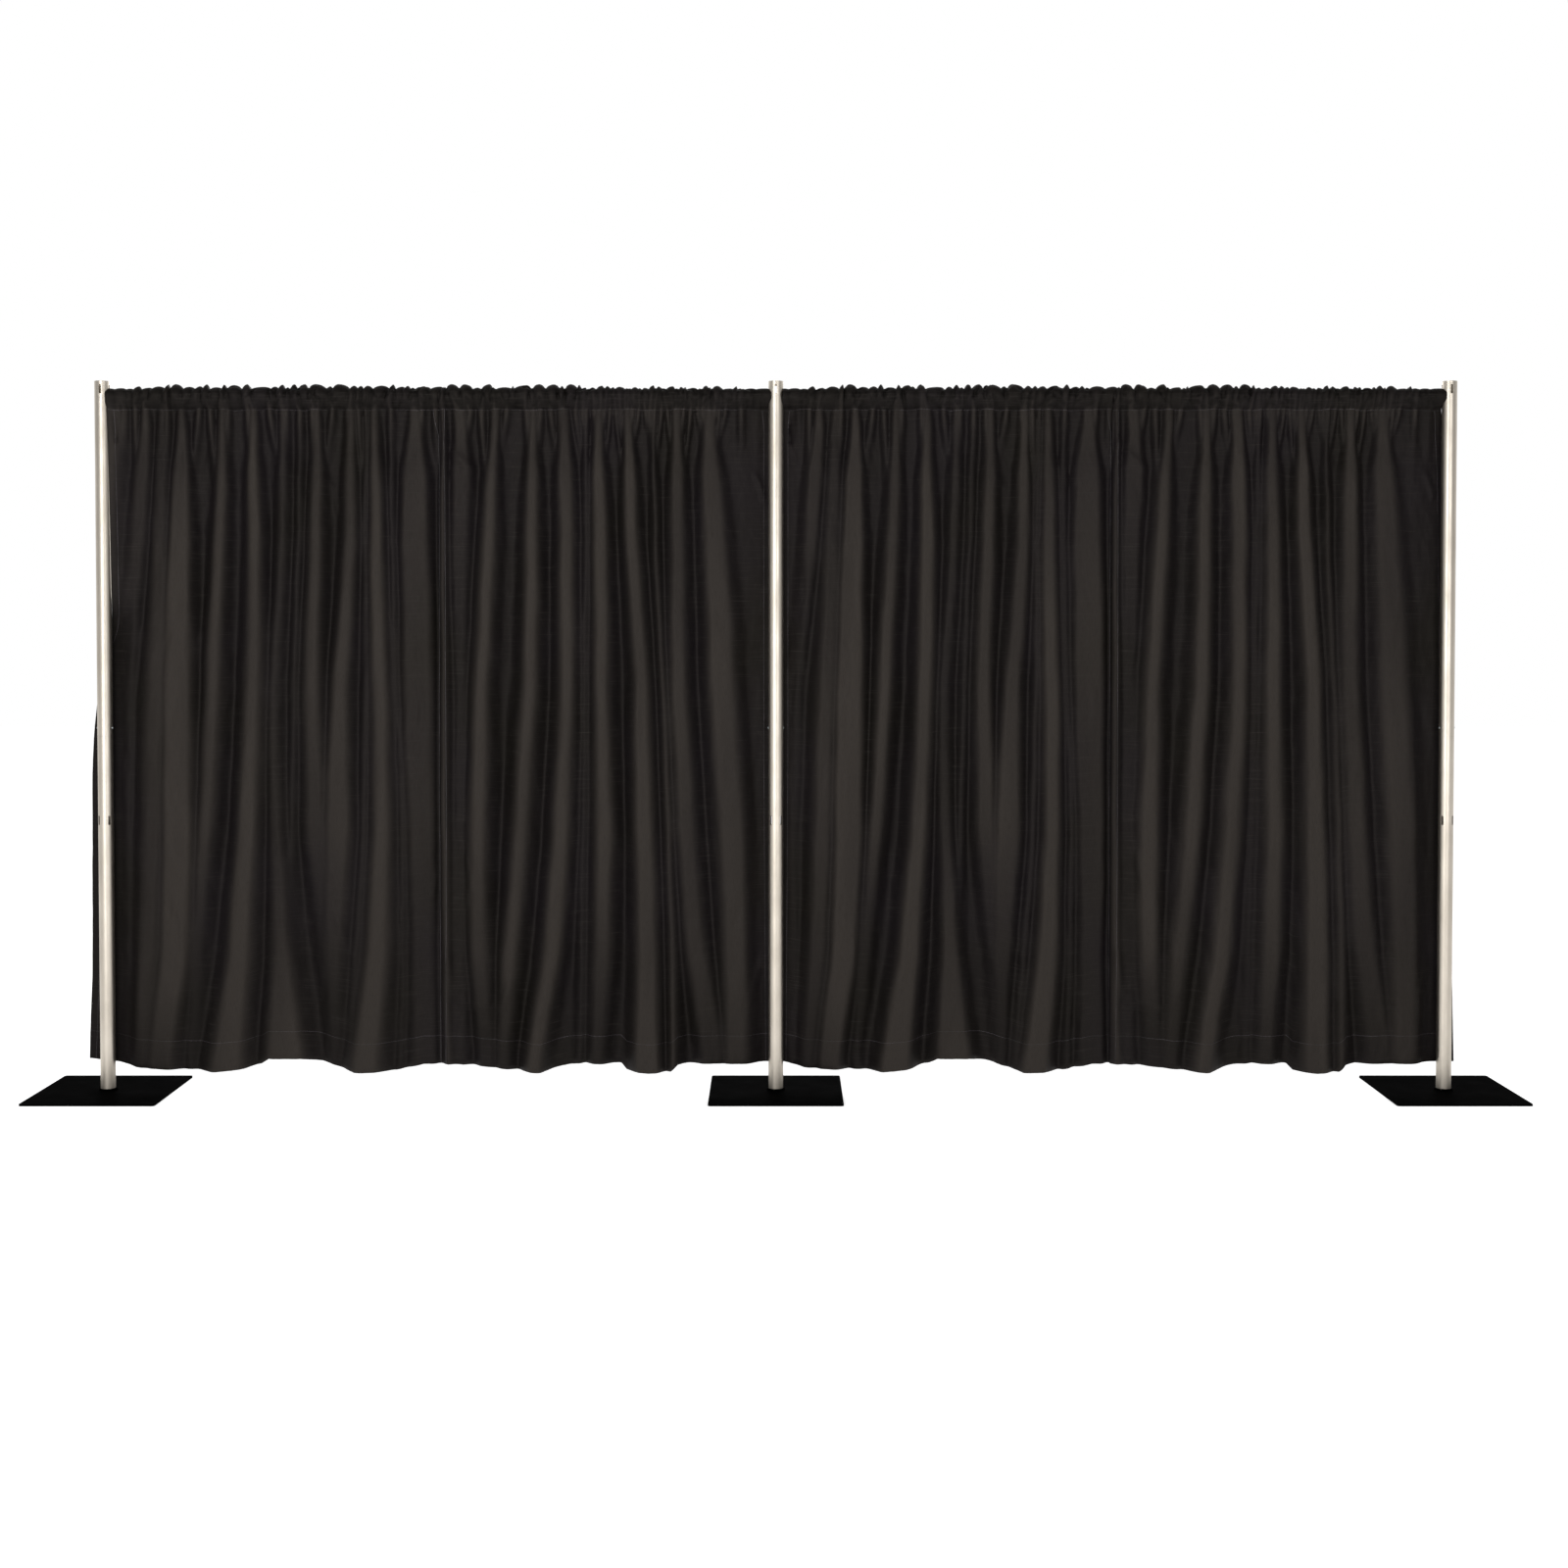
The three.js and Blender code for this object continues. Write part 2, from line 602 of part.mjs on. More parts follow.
// How far the cloth swings to the back, as a share of the fold depth, across a panel's width.
function foldSwing(across, phase) {
  const wander = WANDER_SHARE * Math.sin(FULL_TURN * (WANDERS_PER_PANEL * across + phase));
  const swell = Math.sin(FULL_TURN * (SWELLS_PER_PANEL * across + phase)) ** 2;
  const turn = FOLDS_PER_PANEL * across + wander + phase;
  return mix(1, SHALLOW_SHARE, swell) * Math.sin(FULL_TURN * turn);
}

// A gathered panel with a rod pocket, between two edges along X. An edge is { x, upright }: its
// place, and the place of the upright that it hangs beside, left out where the edge meets its
// neighbour in the open.
function drapePanel(start, end, phase) {
  const pocketRadius = seatedAround(BAR_RADIUS, POCKET_SIDES);
  const pocketOuter = pocketRadius + CLOTH_THICKNESS;
  const stitchZ = BAR_Z - STITCH_DROP;
  const half = CLOTH_THICKNESS / 2;

  const upright = start.upright ?? end.upright;
  const place = (across, level) => {
    const x = mix(start.x, end.x, across);
    const free = FOLD_DEPTH * level.depthShare * foldSwing(across, phase);
    const settled = smooth(1 - (Math.abs(x - upright) - POLE_RADIUS) / SETTLE_WIDTH);
    const y = mix(free, BEHIND_POLE * level.behindShare, settled);
    return new THREE.Vector3(x, y, mix(stitchZ, HEM_HEIGHT, level.dropShare));
  };

  // One section across the cloth, seen from +X: the outside loop runs down the front and up the
  // back, and the inside loop is the rod pocket.
  const section = (across) => {
    const x = mix(start.x, end.x, across);
    const ruffle = RUFFLE_RISE * Math.sin(Math.PI * FOLDS_PER_PANEL * 2 * across + phase) ** 2;
    const front = POCKET_SHAPE_SHARES.map(([y, z], i) => new THREE.Vector3(
      x,
      y * pocketOuter,
      BAR_Z + z * pocketOuter + (i === 0 ? ruffle : 0),
    ));
    const back = front.slice(1).map((p) => new THREE.Vector3(p.x, -p.y, p.z)).reverse();
    const down = CLOTH_LEVELS.map((level) => place(across, level).add(new THREE.Vector3(0, -half, 0)));
    const up = CLOTH_LEVELS.map((level) => place(across, level).add(new THREE.Vector3(0, half, 0)));
    const inside = POCKET_SHAPE_SHARES.map(([y, z]) => new THREE.Vector3(
      x,
      y * pocketRadius,
      BAR_Z + z * pocketRadius,
    ));
    const insideBack = inside.slice(1).map((p) => new THREE.Vector3(p.x, -p.y, p.z)).reverse();
    const bottom = new THREE.Vector3(x, 0, BAR_Z - POCKET_BOTTOM_DROP);
    return {
      outside: [...front, ...down, ...up.reverse(), ...back],
      inside: [...inside, bottom, ...insideBack],
    };
  };

  const sections = [];
  for (let i = 0; i <= STATIONS_PER_PANEL; i += 1) sections.push(section(i / STATIONS_PER_PANEL));

  const outsideCount = sections[0].outside.length;
  const insideCount = sections[0].inside.length;
  const perSection = outsideCount + insideCount;
  const points = sections.flatMap(({ outside, inside }) => [...outside, ...inside]);
  const faces = [];
  const skin = (first, count, flip) => {
    for (let i = 0; i < STATIONS_PER_PANEL; i += 1) {
      for (let k = 0; k < count; k += 1) {
        const next = (k + 1) % count;
        const a = i * perSection + first + k;
        const b = i * perSection + first + next;
        const [c, d] = [b + perSection, a + perSection];
        // The back is split along the same diagonals as the front, so that the two never cross.
        const halves = k < count / 2 ? [[a, b, c], [a, c, d]] : [[a, b, d], [b, c, d]];
        for (const [p, q, r] of halves) faces.push(...(flip ? [p, r, q] : [p, q, r]));
      }
    }
  };
  skin(0, outsideCount, false);
  skin(outsideCount, insideCount, true);

  const flatten = (loop) => loop.map((p) => new THREE.Vector2(p.y, p.z));
  const cap = ({ outside, inside }, offset, flip) => {
    for (const [a, b, c] of THREE.ShapeUtils.triangulateShape(flatten(outside), [flatten(inside)])) {
      if (flip) faces.push(a + offset, c + offset, b + offset);
      else faces.push(a + offset, b + offset, c + offset);
    }
  };
  cap(sections[0], 0, true);
  cap(sections[STATIONS_PER_PANEL], STATIONS_PER_PANEL * perSection, false);

  const geometry = new THREE.BufferGeometry().setFromPoints(points);
  geometry.setIndex(faces);
  const flat = geometry.toNonIndexed();
  flat.computeVertexNormals();
  return flat;
}

// The edges of a bay's panels, from the centre upright to the outer one, towards +X.
const CENTRE_EDGE = { x: POLE_RADIUS + POLE_SIDE_GAP, upright: 0 };
const OUTER_EDGE = { x: BAY_SPACING - POLE_RADIUS - POLE_SIDE_GAP, upright: BAY_SPACING };
const INNER_SEAM_EDGE = { x: (BAY_SPACING - SEAM_GAP) / 2 };
const OUTER_SEAM_EDGE = { x: (BAY_SPACING + SEAM_GAP) / 2 };

function mirrored(edge) {
  const upright = edge.upright === undefined ? undefined : -edge.upright;
  return { x: -edge.x, upright };
}

const backdrop = new THREE.Group();
for (const [side, sign] of [['left', -1], ['centre', 0], ['right', 1]]) {
  const upright = stand(side);
  upright.position.x = sign * BAY_SPACING;
  backdrop.add(upright);
  if (sign === 0) continue;

  // The inboard half hangs on the centre upright and the outboard half on the outer one.
  const inboard = barHalf(side, 'inboard', BAR_RADIUS);
  const outboard = barHalf(side, 'outboard', INNER_BAR_RADIUS);
  outboard.position.x = sign * BAY_SPACING;
  (sign < 0 ? inboard : outboard).rotation.z = Math.PI;
  backdrop.add(inboard, outboard);
}

const panels = [
  ['left_drape_outer', mirrored(OUTER_EDGE), mirrored(OUTER_SEAM_EDGE), 0.15],
  ['left_drape_inner', mirrored(INNER_SEAM_EDGE), mirrored(CENTRE_EDGE), 0.55],
  ['right_drape_inner', CENTRE_EDGE, INNER_SEAM_EDGE, 0.35],
  ['right_drape_outer', OUTER_SEAM_EDGE, OUTER_EDGE, 0.8],
];
for (const [name, start, end, phaseShare] of panels) {
  backdrop.add(piece(name, drapePanel(start, end, phaseShare), blackCloth));
}

export default backdrop;
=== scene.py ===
"""Pipe and drape backdrop: the looks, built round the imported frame.

Three two-piece aluminium uprights stand on square steel plates, and two gathered black satin panels
hang from a telescoping crossbar in each of the two bays. Metres, +Z up, the front faces -Y.
"""

import logging
import math
from collections.abc import Callable, Sequence
from dataclasses import dataclass, field
from enum import Enum

import bmesh
import bpy
import numpy as np
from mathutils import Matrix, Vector


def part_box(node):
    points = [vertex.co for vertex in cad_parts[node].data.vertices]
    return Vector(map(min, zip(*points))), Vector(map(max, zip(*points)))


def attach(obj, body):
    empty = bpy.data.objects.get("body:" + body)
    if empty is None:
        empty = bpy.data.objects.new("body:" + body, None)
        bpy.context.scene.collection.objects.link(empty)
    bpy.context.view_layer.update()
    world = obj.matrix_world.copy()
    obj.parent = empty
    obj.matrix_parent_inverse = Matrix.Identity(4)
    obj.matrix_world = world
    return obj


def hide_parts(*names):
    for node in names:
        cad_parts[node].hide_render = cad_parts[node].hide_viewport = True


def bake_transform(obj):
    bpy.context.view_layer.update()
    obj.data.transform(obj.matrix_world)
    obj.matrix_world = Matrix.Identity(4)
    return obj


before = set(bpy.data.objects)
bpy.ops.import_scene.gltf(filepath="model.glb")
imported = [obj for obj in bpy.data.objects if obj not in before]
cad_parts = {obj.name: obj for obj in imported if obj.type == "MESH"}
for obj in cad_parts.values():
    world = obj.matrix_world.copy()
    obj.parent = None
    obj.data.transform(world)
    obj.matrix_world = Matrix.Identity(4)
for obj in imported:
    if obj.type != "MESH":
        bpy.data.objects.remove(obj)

LOG = logging.getLogger("backdrop")
MM = 0.001
QUARTER_TURN = math.pi / 2
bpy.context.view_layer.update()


class Side(Enum):
    """Where an upright, a bay or a button is, seen from the front."""

    LEFT = "left"
    CENTRE = "centre"
    RIGHT = "right"


class End(Enum):
    """The two ends of a bay's crossbar."""

    INBOARD = "inboard"
    OUTBOARD = "outboard"


class Half(Enum):
    """A bay's two panels: the one at the outer upright and the one at the centre upright."""

    OUTER = "outer"
    INNER = "inner"


class Part(Enum):
    """What can be selected on a piece in edit mode."""

    EDGES = "EDGE"
    FACES = "FACE"


def srgb(code: str) -> tuple[float, float, float, float]:
    """Turns an sRGB hex colour into the linear colour that a socket takes.

    Args:
        code: The colour, such as "#1c1a18".

    Returns:
        Red, green and blue in linear light, and an alpha of one.
    """
    parts = [int(code[i : i + 2], 16) / 255 for i in (1, 3, 5)]
    linear = [p / 12.92 if p <= 0.04045 else ((p + 0.055) / 1.055) ** 2.4 for p in parts]
    return (*linear, 1.0)


def feed(tree: bpy.types.NodeTree, socket: bpy.types.NodeSocket, value: object) -> None:
    """Links an input socket to an output socket, or sets its own value.

    Args:
        tree: The node tree.
        socket: The input socket.
        value: An output socket, a hex colour or another value.
    """
    if isinstance(value, bpy.types.NodeSocket):
        tree.links.new(value, socket)
    else:
        socket.default_value = srgb(value) if isinstance(value, str) else value


def add_node(
    tree: bpy.types.NodeTree, kind: str, inputs: dict | None = None, **settings
) -> bpy.types.Node:
    """Adds a node to a tree, with its settings and its links.

    Args:
        tree: The node tree.
        kind: The node's type, such as "ShaderNodeTexNoise".
        inputs: What goes into each input, by its name or number, as feed() takes it.
        **settings: Properties of the node itself.

    Returns:
        The new node.
    """
    node = tree.nodes.new(kind)
    for name, value in settings.items():
        setattr(node, name, value)
    for key, value in (inputs or {}).items():
        feed(tree, node.inputs[key], value)
    return node


@dataclass(frozen=True)
class Grain:
    """A noise whose grains have a real size in mm, along X, Y and Z or across and down a cloth."""

    size: tuple[float, ...]
    detail: float = 2.0


@dataclass(frozen=True)
class Spread:
    """A pattern whose values from start to end become low to high, and are held there.

    The pattern is a grain, or the name of an attribute of the mesh.
    """

    pattern: Grain | str
    low: float = 0.0
    high: float = 1.0
    start: float = 0.3
    end: float = 0.7


def draw(tree: bpy.types.NodeTree, pattern: Grain | Spread | str) -> bpy.types.NodeSocket:
    """Adds a pattern to a material, a grain on Object coordinates or on the cloth's own UV map.

    Args:
        tree: The material's node tree.
        pattern: A grain, a spread or an attribute's name.

    Returns:
        The pattern's value.
    """
    if isinstance(pattern, str):
        return add_node(tree, "ShaderNodeAttribute", attribute_name=pattern).outputs["Fac"]
    if isinstance(pattern, Spread):
        inputs = {
            "Value": draw(tree, pattern.pattern), "From Min": pattern.start,
            "From Max": pattern.end, "To Min": pattern.low, "To Max": pattern.high,
        }
        return add_node(tree, "ShaderNodeMapRange", inputs).outputs["Result"]
    if len(pattern.size) == 2:
        spot = add_node(tree, "ShaderNodeUVMap", uv_map="UVMap").outputs["UV"]
    else:
        spot = add_node(tree, "ShaderNodeTexCoord").outputs["Object"]
    scale = ([1 / (size * MM) for size in pattern.size] + [1.0])[:3]
    inputs = {"Vector": spot, "Scale": scale}
    spot = add_node(tree, "ShaderNodeMapping", inputs).outputs["Vector"]
    inputs = {"Vector": spot, "Scale": 1.0, "Detail": pattern.detail}
    return add_node(tree, "ShaderNodeTexNoise", inputs).outputs["Fac"]


@dataclass(frozen=True)
class Finish:
    """A material: a ground colour, coats of other colours on it, its gloss and its fine relief.

    A coat is a colour and the share of it that shows. A bump is a grain and its depth in mm. Extra
    holds other sockets of the shader.
    """

    name: str
    ground: str
    coats: tuple[tuple[str, Spread], ...]
    roughness: float | Spread
    bumps: tuple[tuple[Grain, float], ...] = ()
    metallic: float = 0.0
    extra: dict[str, float | str] = field(default_factory=dict)

    def material(self) -> bpy.types.Material:
        """Makes the material on first use.

        Returns:
            The material.
        """
        if self.name in bpy.data.materials:
            return bpy.data.materials[self.name]
        material = bpy.data.materials.new(self.name)
        material.use_nodes = True
        tree = material.node_tree
        rough, colour = self.roughness, self.ground
        for coat, share in self.coats:
            inputs = {"Factor": draw(tree, share), "A": colour, "B": coat}
            colour = add_node(tree, "ShaderNodeMix", inputs, data_type="RGBA").outputs["Result"]
        shown = {"Base Color": colour, "Metallic": self.metallic, **self.extra}
        shown["Roughness"] = draw(tree, rough) if isinstance(rough, Spread) else rough
        for grain, depth in self.bumps:
            inputs = {"Height": draw(tree, grain), "Distance": depth * MM, "Strength": 1.0}
            if "Normal" in shown:
                inputs["Normal"] = shown["Normal"]
            shown["Normal"] = add_node(tree, "ShaderNodeBump", inputs).outputs["Normal"]
        for name, value in shown.items():
            feed(tree, tree.nodes["Principled BSDF"].inputs[name], value)
        return material


def anodised(name: str, draw_lines: tuple[float, float, float]) -> Finish:
    """Describes extruded 6063 aluminium tube, etched and clear anodised.

    The eye gets a pale, slightly warm grey with a soft glow down its length, fine draw lines along
    the tube, and dull handling marks.

    Args:
        name: The material's name.
        draw_lines: The size in mm of the draw lines along X, Y and Z.

    Returns:
        The finish.
    """
    smudge = Grain((60.0, 60.0, 140.0), 4.0)
    speck = Grain((5.0, 5.0, 9.0), 5.0)
    return Finish(
        name, "#c7bfb3",
        (("#b7afa3", Spread(smudge)), ("#9e968b", Spread(speck, 0.0, 0.5, 0.66, 0.78))),
        Spread(smudge, 0.34, 0.46, 0.25, 0.75), ((Grain(draw_lines, 3.0), 0.02),), 1.0,
    )


UPRIGHT_ALUMINIUM = anodised("satin_anodised_extruded_aluminium", (2.0, 2.0, 260.0))
CROSSBAR_ALUMINIUM = anodised("satin_anodised_crossbar_aluminium", (260.0, 2.0, 2.0))

# Tube as it leaves the die, duller and streakier than the anodised one.
STREAK = Grain((1.5, 1.5, 180.0), 4.0)
MILL_ALUMINIUM = Finish(
    "mill_finish_aluminium", "#b9b8b4", (("#9c9b97", Spread(STREAK)),),
    Spread(STREAK, 0.35, 0.5), ((STREAK, 0.03),), 1.0,
)

# Baked matt black powder coat: near black, with a fine orange-peel skin, dust on its upper side and
# small scuffs. Real peel is nearer 1 mm, and is drawn coarser to show.
DUST = Grain((90.0, 90.0, 90.0), 5.0)
BLACK_POWDER_COAT = Finish(
    "matt_black_powder_coated_steel", "#020202",
    (
        ("#060606", Spread(DUST, 0.0, 1.0, 0.4, 0.8)),
        ("#0e0d0d", Spread(Grain((26.0, 3.0, 8.0), 4.0), 0.0, 0.6, 0.7, 0.8)),
    ),
    Spread(DUST, 0.55, 0.72), ((Grain((2.2, 2.2, 2.2)), 0.12),),
    extra={"Specular IOR Level": 0.001},
)

# Bright zinc plate on steel, with a faint bluish passivation and dull blooms.
BLOOM = Grain((7.0, 7.0, 7.0), 4.0)
ZINC_PLATE = Finish(
    "zinc_plated_steel", "#b4b9bd", (("#969a9c", Spread(BLOOM)),), Spread(BLOOM, 0.28, 0.46),
    ((Grain((0.8, 0.8, 0.8)), 0.015),), 1.0,
)

# Hardened and tempered strip steel: straw-grey, with the rolling direction along it.
ROLLED = Grain((3.0, 0.5, 30.0), 3.0)
TEMPERED_SPRING = Finish(
    "tempered_spring_steel", "#76716a", (("#5c5a57", Spread(ROLLED)),), Spread(ROLLED, 0.25, 0.4),
    metallic=1.0,
)

# Injection-moulded black nylon: semi-matt, with a fine spark-eroded grain.
ERODED = Grain((0.7, 0.7, 0.7))
MOULDED_NYLON = Finish(
    "moulded_black_nylon", "#151516", (("#1f1f20", Spread(ERODED)),), 0.52, ((ERODED, 0.03),)
)

# Black polyester taffeta with a satin face: a warm black, with a painted highlight greying it along
# the fold crests and painted shade deepening it down in the gathers, with thin slubs across the
# cloth, a fine grain down it, and a few broad patches of another dye depth. The mesh's crest
# attribute carries that painted light and shade: 1 on a fold's crest, 0 on the ground and -1 deep
# in a gather. Real threads are 0.2 to 0.3 mm apart. The slubs and the grain are drawn 6 to 12
# times as coarse, to show from where the whole run is seen.
SLUB = Grain((130.0, 3.0))
WARP = Grain((2.4, 22.0), 3.0)
BLACK_SATIN_CLOTH = Finish(
    "black_satin_faced_polyester_taffeta", "#100e0c",
    (
        ("#141113", Spread(Grain((420.0, 650.0)), 0.0, 1.0, 0.35, 0.65)),
        # painted shade: near black deep in the pocket's creases and wrinkles, where the crest
        # attribute is -1
        ("#040303", Spread("crest", 1.0, 0.0, -1.0, 0.0)),
        # painted highlight: lighter along the fold crests, where the crest attribute rises to 1
        ("#2e2a27", Spread("crest", 0.0, 1.0, 0.0, 1.0)),
        ("#2b2826", Spread(SLUB, 0.0, 0.6, 0.58, 0.72)),
        ("#070605", Spread(WARP, 0.0, 0.25, 0.5, 0.8)),
    ),
    Spread(WARP, 0.5, 0.6),
    ((Grain((38.0, 90.0), 3.0), 1.6), (SLUB, 0.25), (WARP, 0.12)),
    extra={
        "Specular IOR Level": 0.1, "Specular Tint": "#f8eee4",
        "Sheen Weight": 0.02, "Sheen Tint": "#e6d3c4", "Sheen Roughness": 0.4,
    },
)

# Grey polyester thread, a little lighter than the cloth, darkened in broad random stretches by a
# painted shade that stands for where it has sunk into the cloth.
SEWING_THREAD = Finish(
    "grey_polyester_thread", "#3b363b",
    (
        ("#524b51", Spread(Grain((1.2, 1.2, 1.2), 1.0))),
        # painted shade: darker in broad random stretches, for where the thread sinks into the cloth
        ("#171415", Spread(Grain((260.0, 260.0, 90.0)), 0.0, 0.9, 0.42, 0.58)),
    ),
    0.5,
)

# The pale seamless floor. Studio.floor() makes it white to the camera.
STUDIO_PAPER = Finish(
    "white_studio_paper", "#f2f2f2", (), 0.9,
    extra={"Specular IOR Level": 0.0, "Emission Color": "#ffffff"},
)


SHARP_ANGLE = math.radians(35.0)  # edges sharper than this are eased
FACING = 0.9  # a normal's least share along an axis for its face to face that way


def take(piece: bpy.types.Object | None) -> None:
    """Makes one piece the only selected and the active one, or deselects everything.

    Args:
        piece: The piece, or None.
    """
    bpy.ops.object.select_all(action="DESELECT")
    if piece:
        piece.select_set(True)
        bpy.context.view_layer.objects.active = piece


def settle(piece: bpy.types.Object) -> None:
    """Puts a piece's place, turn and size into its mesh."""
    take(piece)
    bpy.ops.object.transform_apply(location=True, rotation=True, scale=True)


def move(
    piece: bpy.types.Object, spot: Sequence[float] = (0, 0, 0), turn: Sequence[float] = (0, 0, 0)
) -> None:
    """Turns and moves a piece, mesh and all.

    Args:
        piece: The piece, which lies at the origin.
        spot: Where its origin goes.
        turn: Its turn about X, Y and Z, in radians.
    """
    piece.location, piece.rotation_euler = spot, turn
    settle(piece)


def add(name: str, primitive: Callable, **settings) -> bpy.types.Object:
    """Adds a primitive, with its place and size in its mesh.

    Args:
        name: The piece's name.
        primitive: The operator that adds it.
        **settings: What the operator takes.

    Returns:
        The piece.
    """
    take(None)
    primitive(**settings)
    piece = bpy.context.object
    piece.name = piece.data.name = name
    settle(piece)
    return piece


def add_block(name: str, low: Vector, high: Vector) -> bpy.types.Object:
    """Adds a block between two corners.

    Args:
        name: The piece's name.
        low: Its lowest corner.
        high: Its highest corner.

    Returns:
        The block.
    """
    cube, middle = bpy.ops.mesh.primitive_cube_add, (low + high) / 2
    return add(name, cube, size=1.0, location=middle, scale=high - low)


def modify(piece: bpy.types.Object, kind: str, **settings) -> None:
    """Adds a modifier and applies it.

    Args:
        piece: The piece.
        kind: The modifier's type.
        **settings: Its settings.
    """
    take(piece)
    modifier = piece.modifiers.new(kind.lower(), kind)
    for key, value in settings.items():
        setattr(modifier, key, value)
    bpy.ops.object.modifier_apply(modifier=modifier.name)


def carve(piece: bpy.types.Object, cutter: bpy.types.Object) -> None:
    """Cuts a piece with a cutter, which is then removed."""
    modify(piece, "BOOLEAN", object=cutter, operation="DIFFERENCE", solver="EXACT")
    bpy.data.objects.remove(cutter, do_unlink=True)


def pick(piece: bpy.types.Object, part: Part, wanted: Callable[[Vector, Vector], bool]) -> None:
    """Enters edit mode with those edges or faces selected that pass a test.

    Args:
        piece: The piece.
        part: What is selected.
        wanted: The test, given an edge's two ends, or a face's centre and normal.
    """
    take(piece)
    bpy.ops.object.mode_set(mode="EDIT")
    bpy.ops.mesh.select_mode(type=part.value)
    bpy.ops.mesh.select_all(action="DESELECT")
    mesh = bmesh.from_edit_mesh(piece.data)
    if part is Part.EDGES:
        for edge in mesh.edges:
            edge.select_set(wanted(edge.verts[0].co, edge.verts[1].co))
    else:
        for face in mesh.faces:
            face.select_set(wanted(face.calc_center_median(), face.normal))
    bmesh.update_edit_mesh(piece.data)


def leave() -> None:
    """Leaves edit mode."""
    bpy.ops.object.mode_set(mode="OBJECT")


def extrude(way: Sequence[float]) -> None:
    """Extrudes the selected faces along a way."""
    bpy.ops.mesh.extrude_region_move(TRANSFORM_OT_translate={"value": way})


def round_off(
    piece: bpy.types.Object, radius: float, segments: int, wanted: Callable[[Vector, Vector], bool]
) -> None:
    """Rounds the edges that pass a test.

    Args:
        piece: The piece.
        radius: The size of the rounding.
        segments: Its segments.
        wanted: The test, given an edge's two ends.
    """
    pick(piece, Part.EDGES, wanted)
    bpy.ops.mesh.bevel(offset=radius, segments=segments, affect="EDGES")
    leave()


def face_outward(piece: bpy.types.Object) -> None:
    """Turns all faces of a piece outwards.

    Args:
        piece: The piece.
    """
    pick(piece, Part.FACES, lambda centre, normal: True)
    bpy.ops.mesh.normals_make_consistent(inside=False)
    leave()


def ease(piece: bpy.types.Object, width_mm: float, segments: int = 2) -> None:
    """Breaks the sharp edges with a small bevel and shades the piece smooth between them.

    Args:
        piece: The piece.
        width_mm: The bevel's width.
        segments: Its segments.
    """
    modify(
        piece, "BEVEL", width=width_mm * MM, segments=segments, limit_method="ANGLE",
        angle_limit=SHARP_ANGLE, use_clamp_overlap=True, harden_normals=False,
    )
    take(piece)
    bpy.ops.object.shade_smooth_by_angle(angle=SHARP_ANGLE)
    modify(piece, "WEIGHTED_NORMAL", mode="FACE_AREA", keep_sharp=True)


def lathe(name: str, profile: Sequence[tuple[float, float]], sides: int) -> bpy.types.Object:
    """Turns a profile about Z: a circle is extruded and resized from point to point.

    Args:
        name: The piece's name.
        profile: Radius and height in metres from point to point. A profile that starts and ends at
            radius zero is closed at its poles, and any other is closed into a ring.
        sides: The circle's sides.

    Returns:
        The closed piece.
    """
    solid = profile[0][0] == 0.0
    rings = [point for point in profile if point[0] > 0.0]
    circle, (radius, height) = bpy.ops.mesh.primitive_circle_add, rings[0]
    piece = add(name, circle, vertices=sides, radius=radius, location=(0, 0, height))
    bpy.ops.object.mode_set(mode="EDIT")
    bpy.ops.mesh.select_mode(type="EDGE")
    bpy.ops.mesh.select_all(action="SELECT")
    if solid:
        bpy.ops.mesh.edge_face_add()
        bpy.ops.mesh.select_all(action="SELECT")
    for before, after in zip(rings, rings[1:]):
        rise = (0.0, 0.0, after[1] - before[1])
        if solid:
            extrude(rise)
        else:
            bpy.ops.mesh.extrude_edges_move(TRANSFORM_OT_translate={"value": rise})
        grow = after[0] / before[0]
        if abs(grow - 1.0) > 1e-9:
            centre = (0.0, 0.0, after[1])
            bpy.ops.transform.resize(value=(grow, grow, 1.0), center_override=centre)
    if not solid:
        leave()

        def on_loop(edge: tuple[Vector, Vector], ring: tuple[float, float]) -> bool:
            """Tells whether an edge's two ends lie on a ring of the profile."""
            spots = [(math.hypot(end.x, end.y), end.z) for end in edge]
            return all(math.dist(spot, ring) < 1e-3 * MM for spot in spots)

        pick(piece, Part.EDGES, lambda *edge: any(on_loop(edge, rings[i]) for i in (0, -1)))
        bpy.ops.mesh.bridge_edge_loops()
    leave()
    face_outward(piece)
    return piece


def dress(piece: bpy.types.Object, finish: Finish) -> None:
    """Gives a piece one finish all over."""
    piece.data.materials.clear()
    piece.data.materials.append(finish.material())


def place(piece: bpy.types.Object, body: str, finish: Finish, node: str) -> None:
    """Dresses a rigid piece and fixes it to its body.

    Args:
        piece: The piece, final and in place.
        body: The body that it moves with.
        finish: Its finish.
        node: The CAD node that it stands for.
    """
    dress(piece, finish)
    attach(piece, body)
    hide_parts(node)
    LOG.info("%s rides on %s, %d faces", piece.name, body, len(piece.data.polygons))


# In metres: from upright to upright, and from the centre upright to the ends of a bay's cloth.
BAY = 2.314


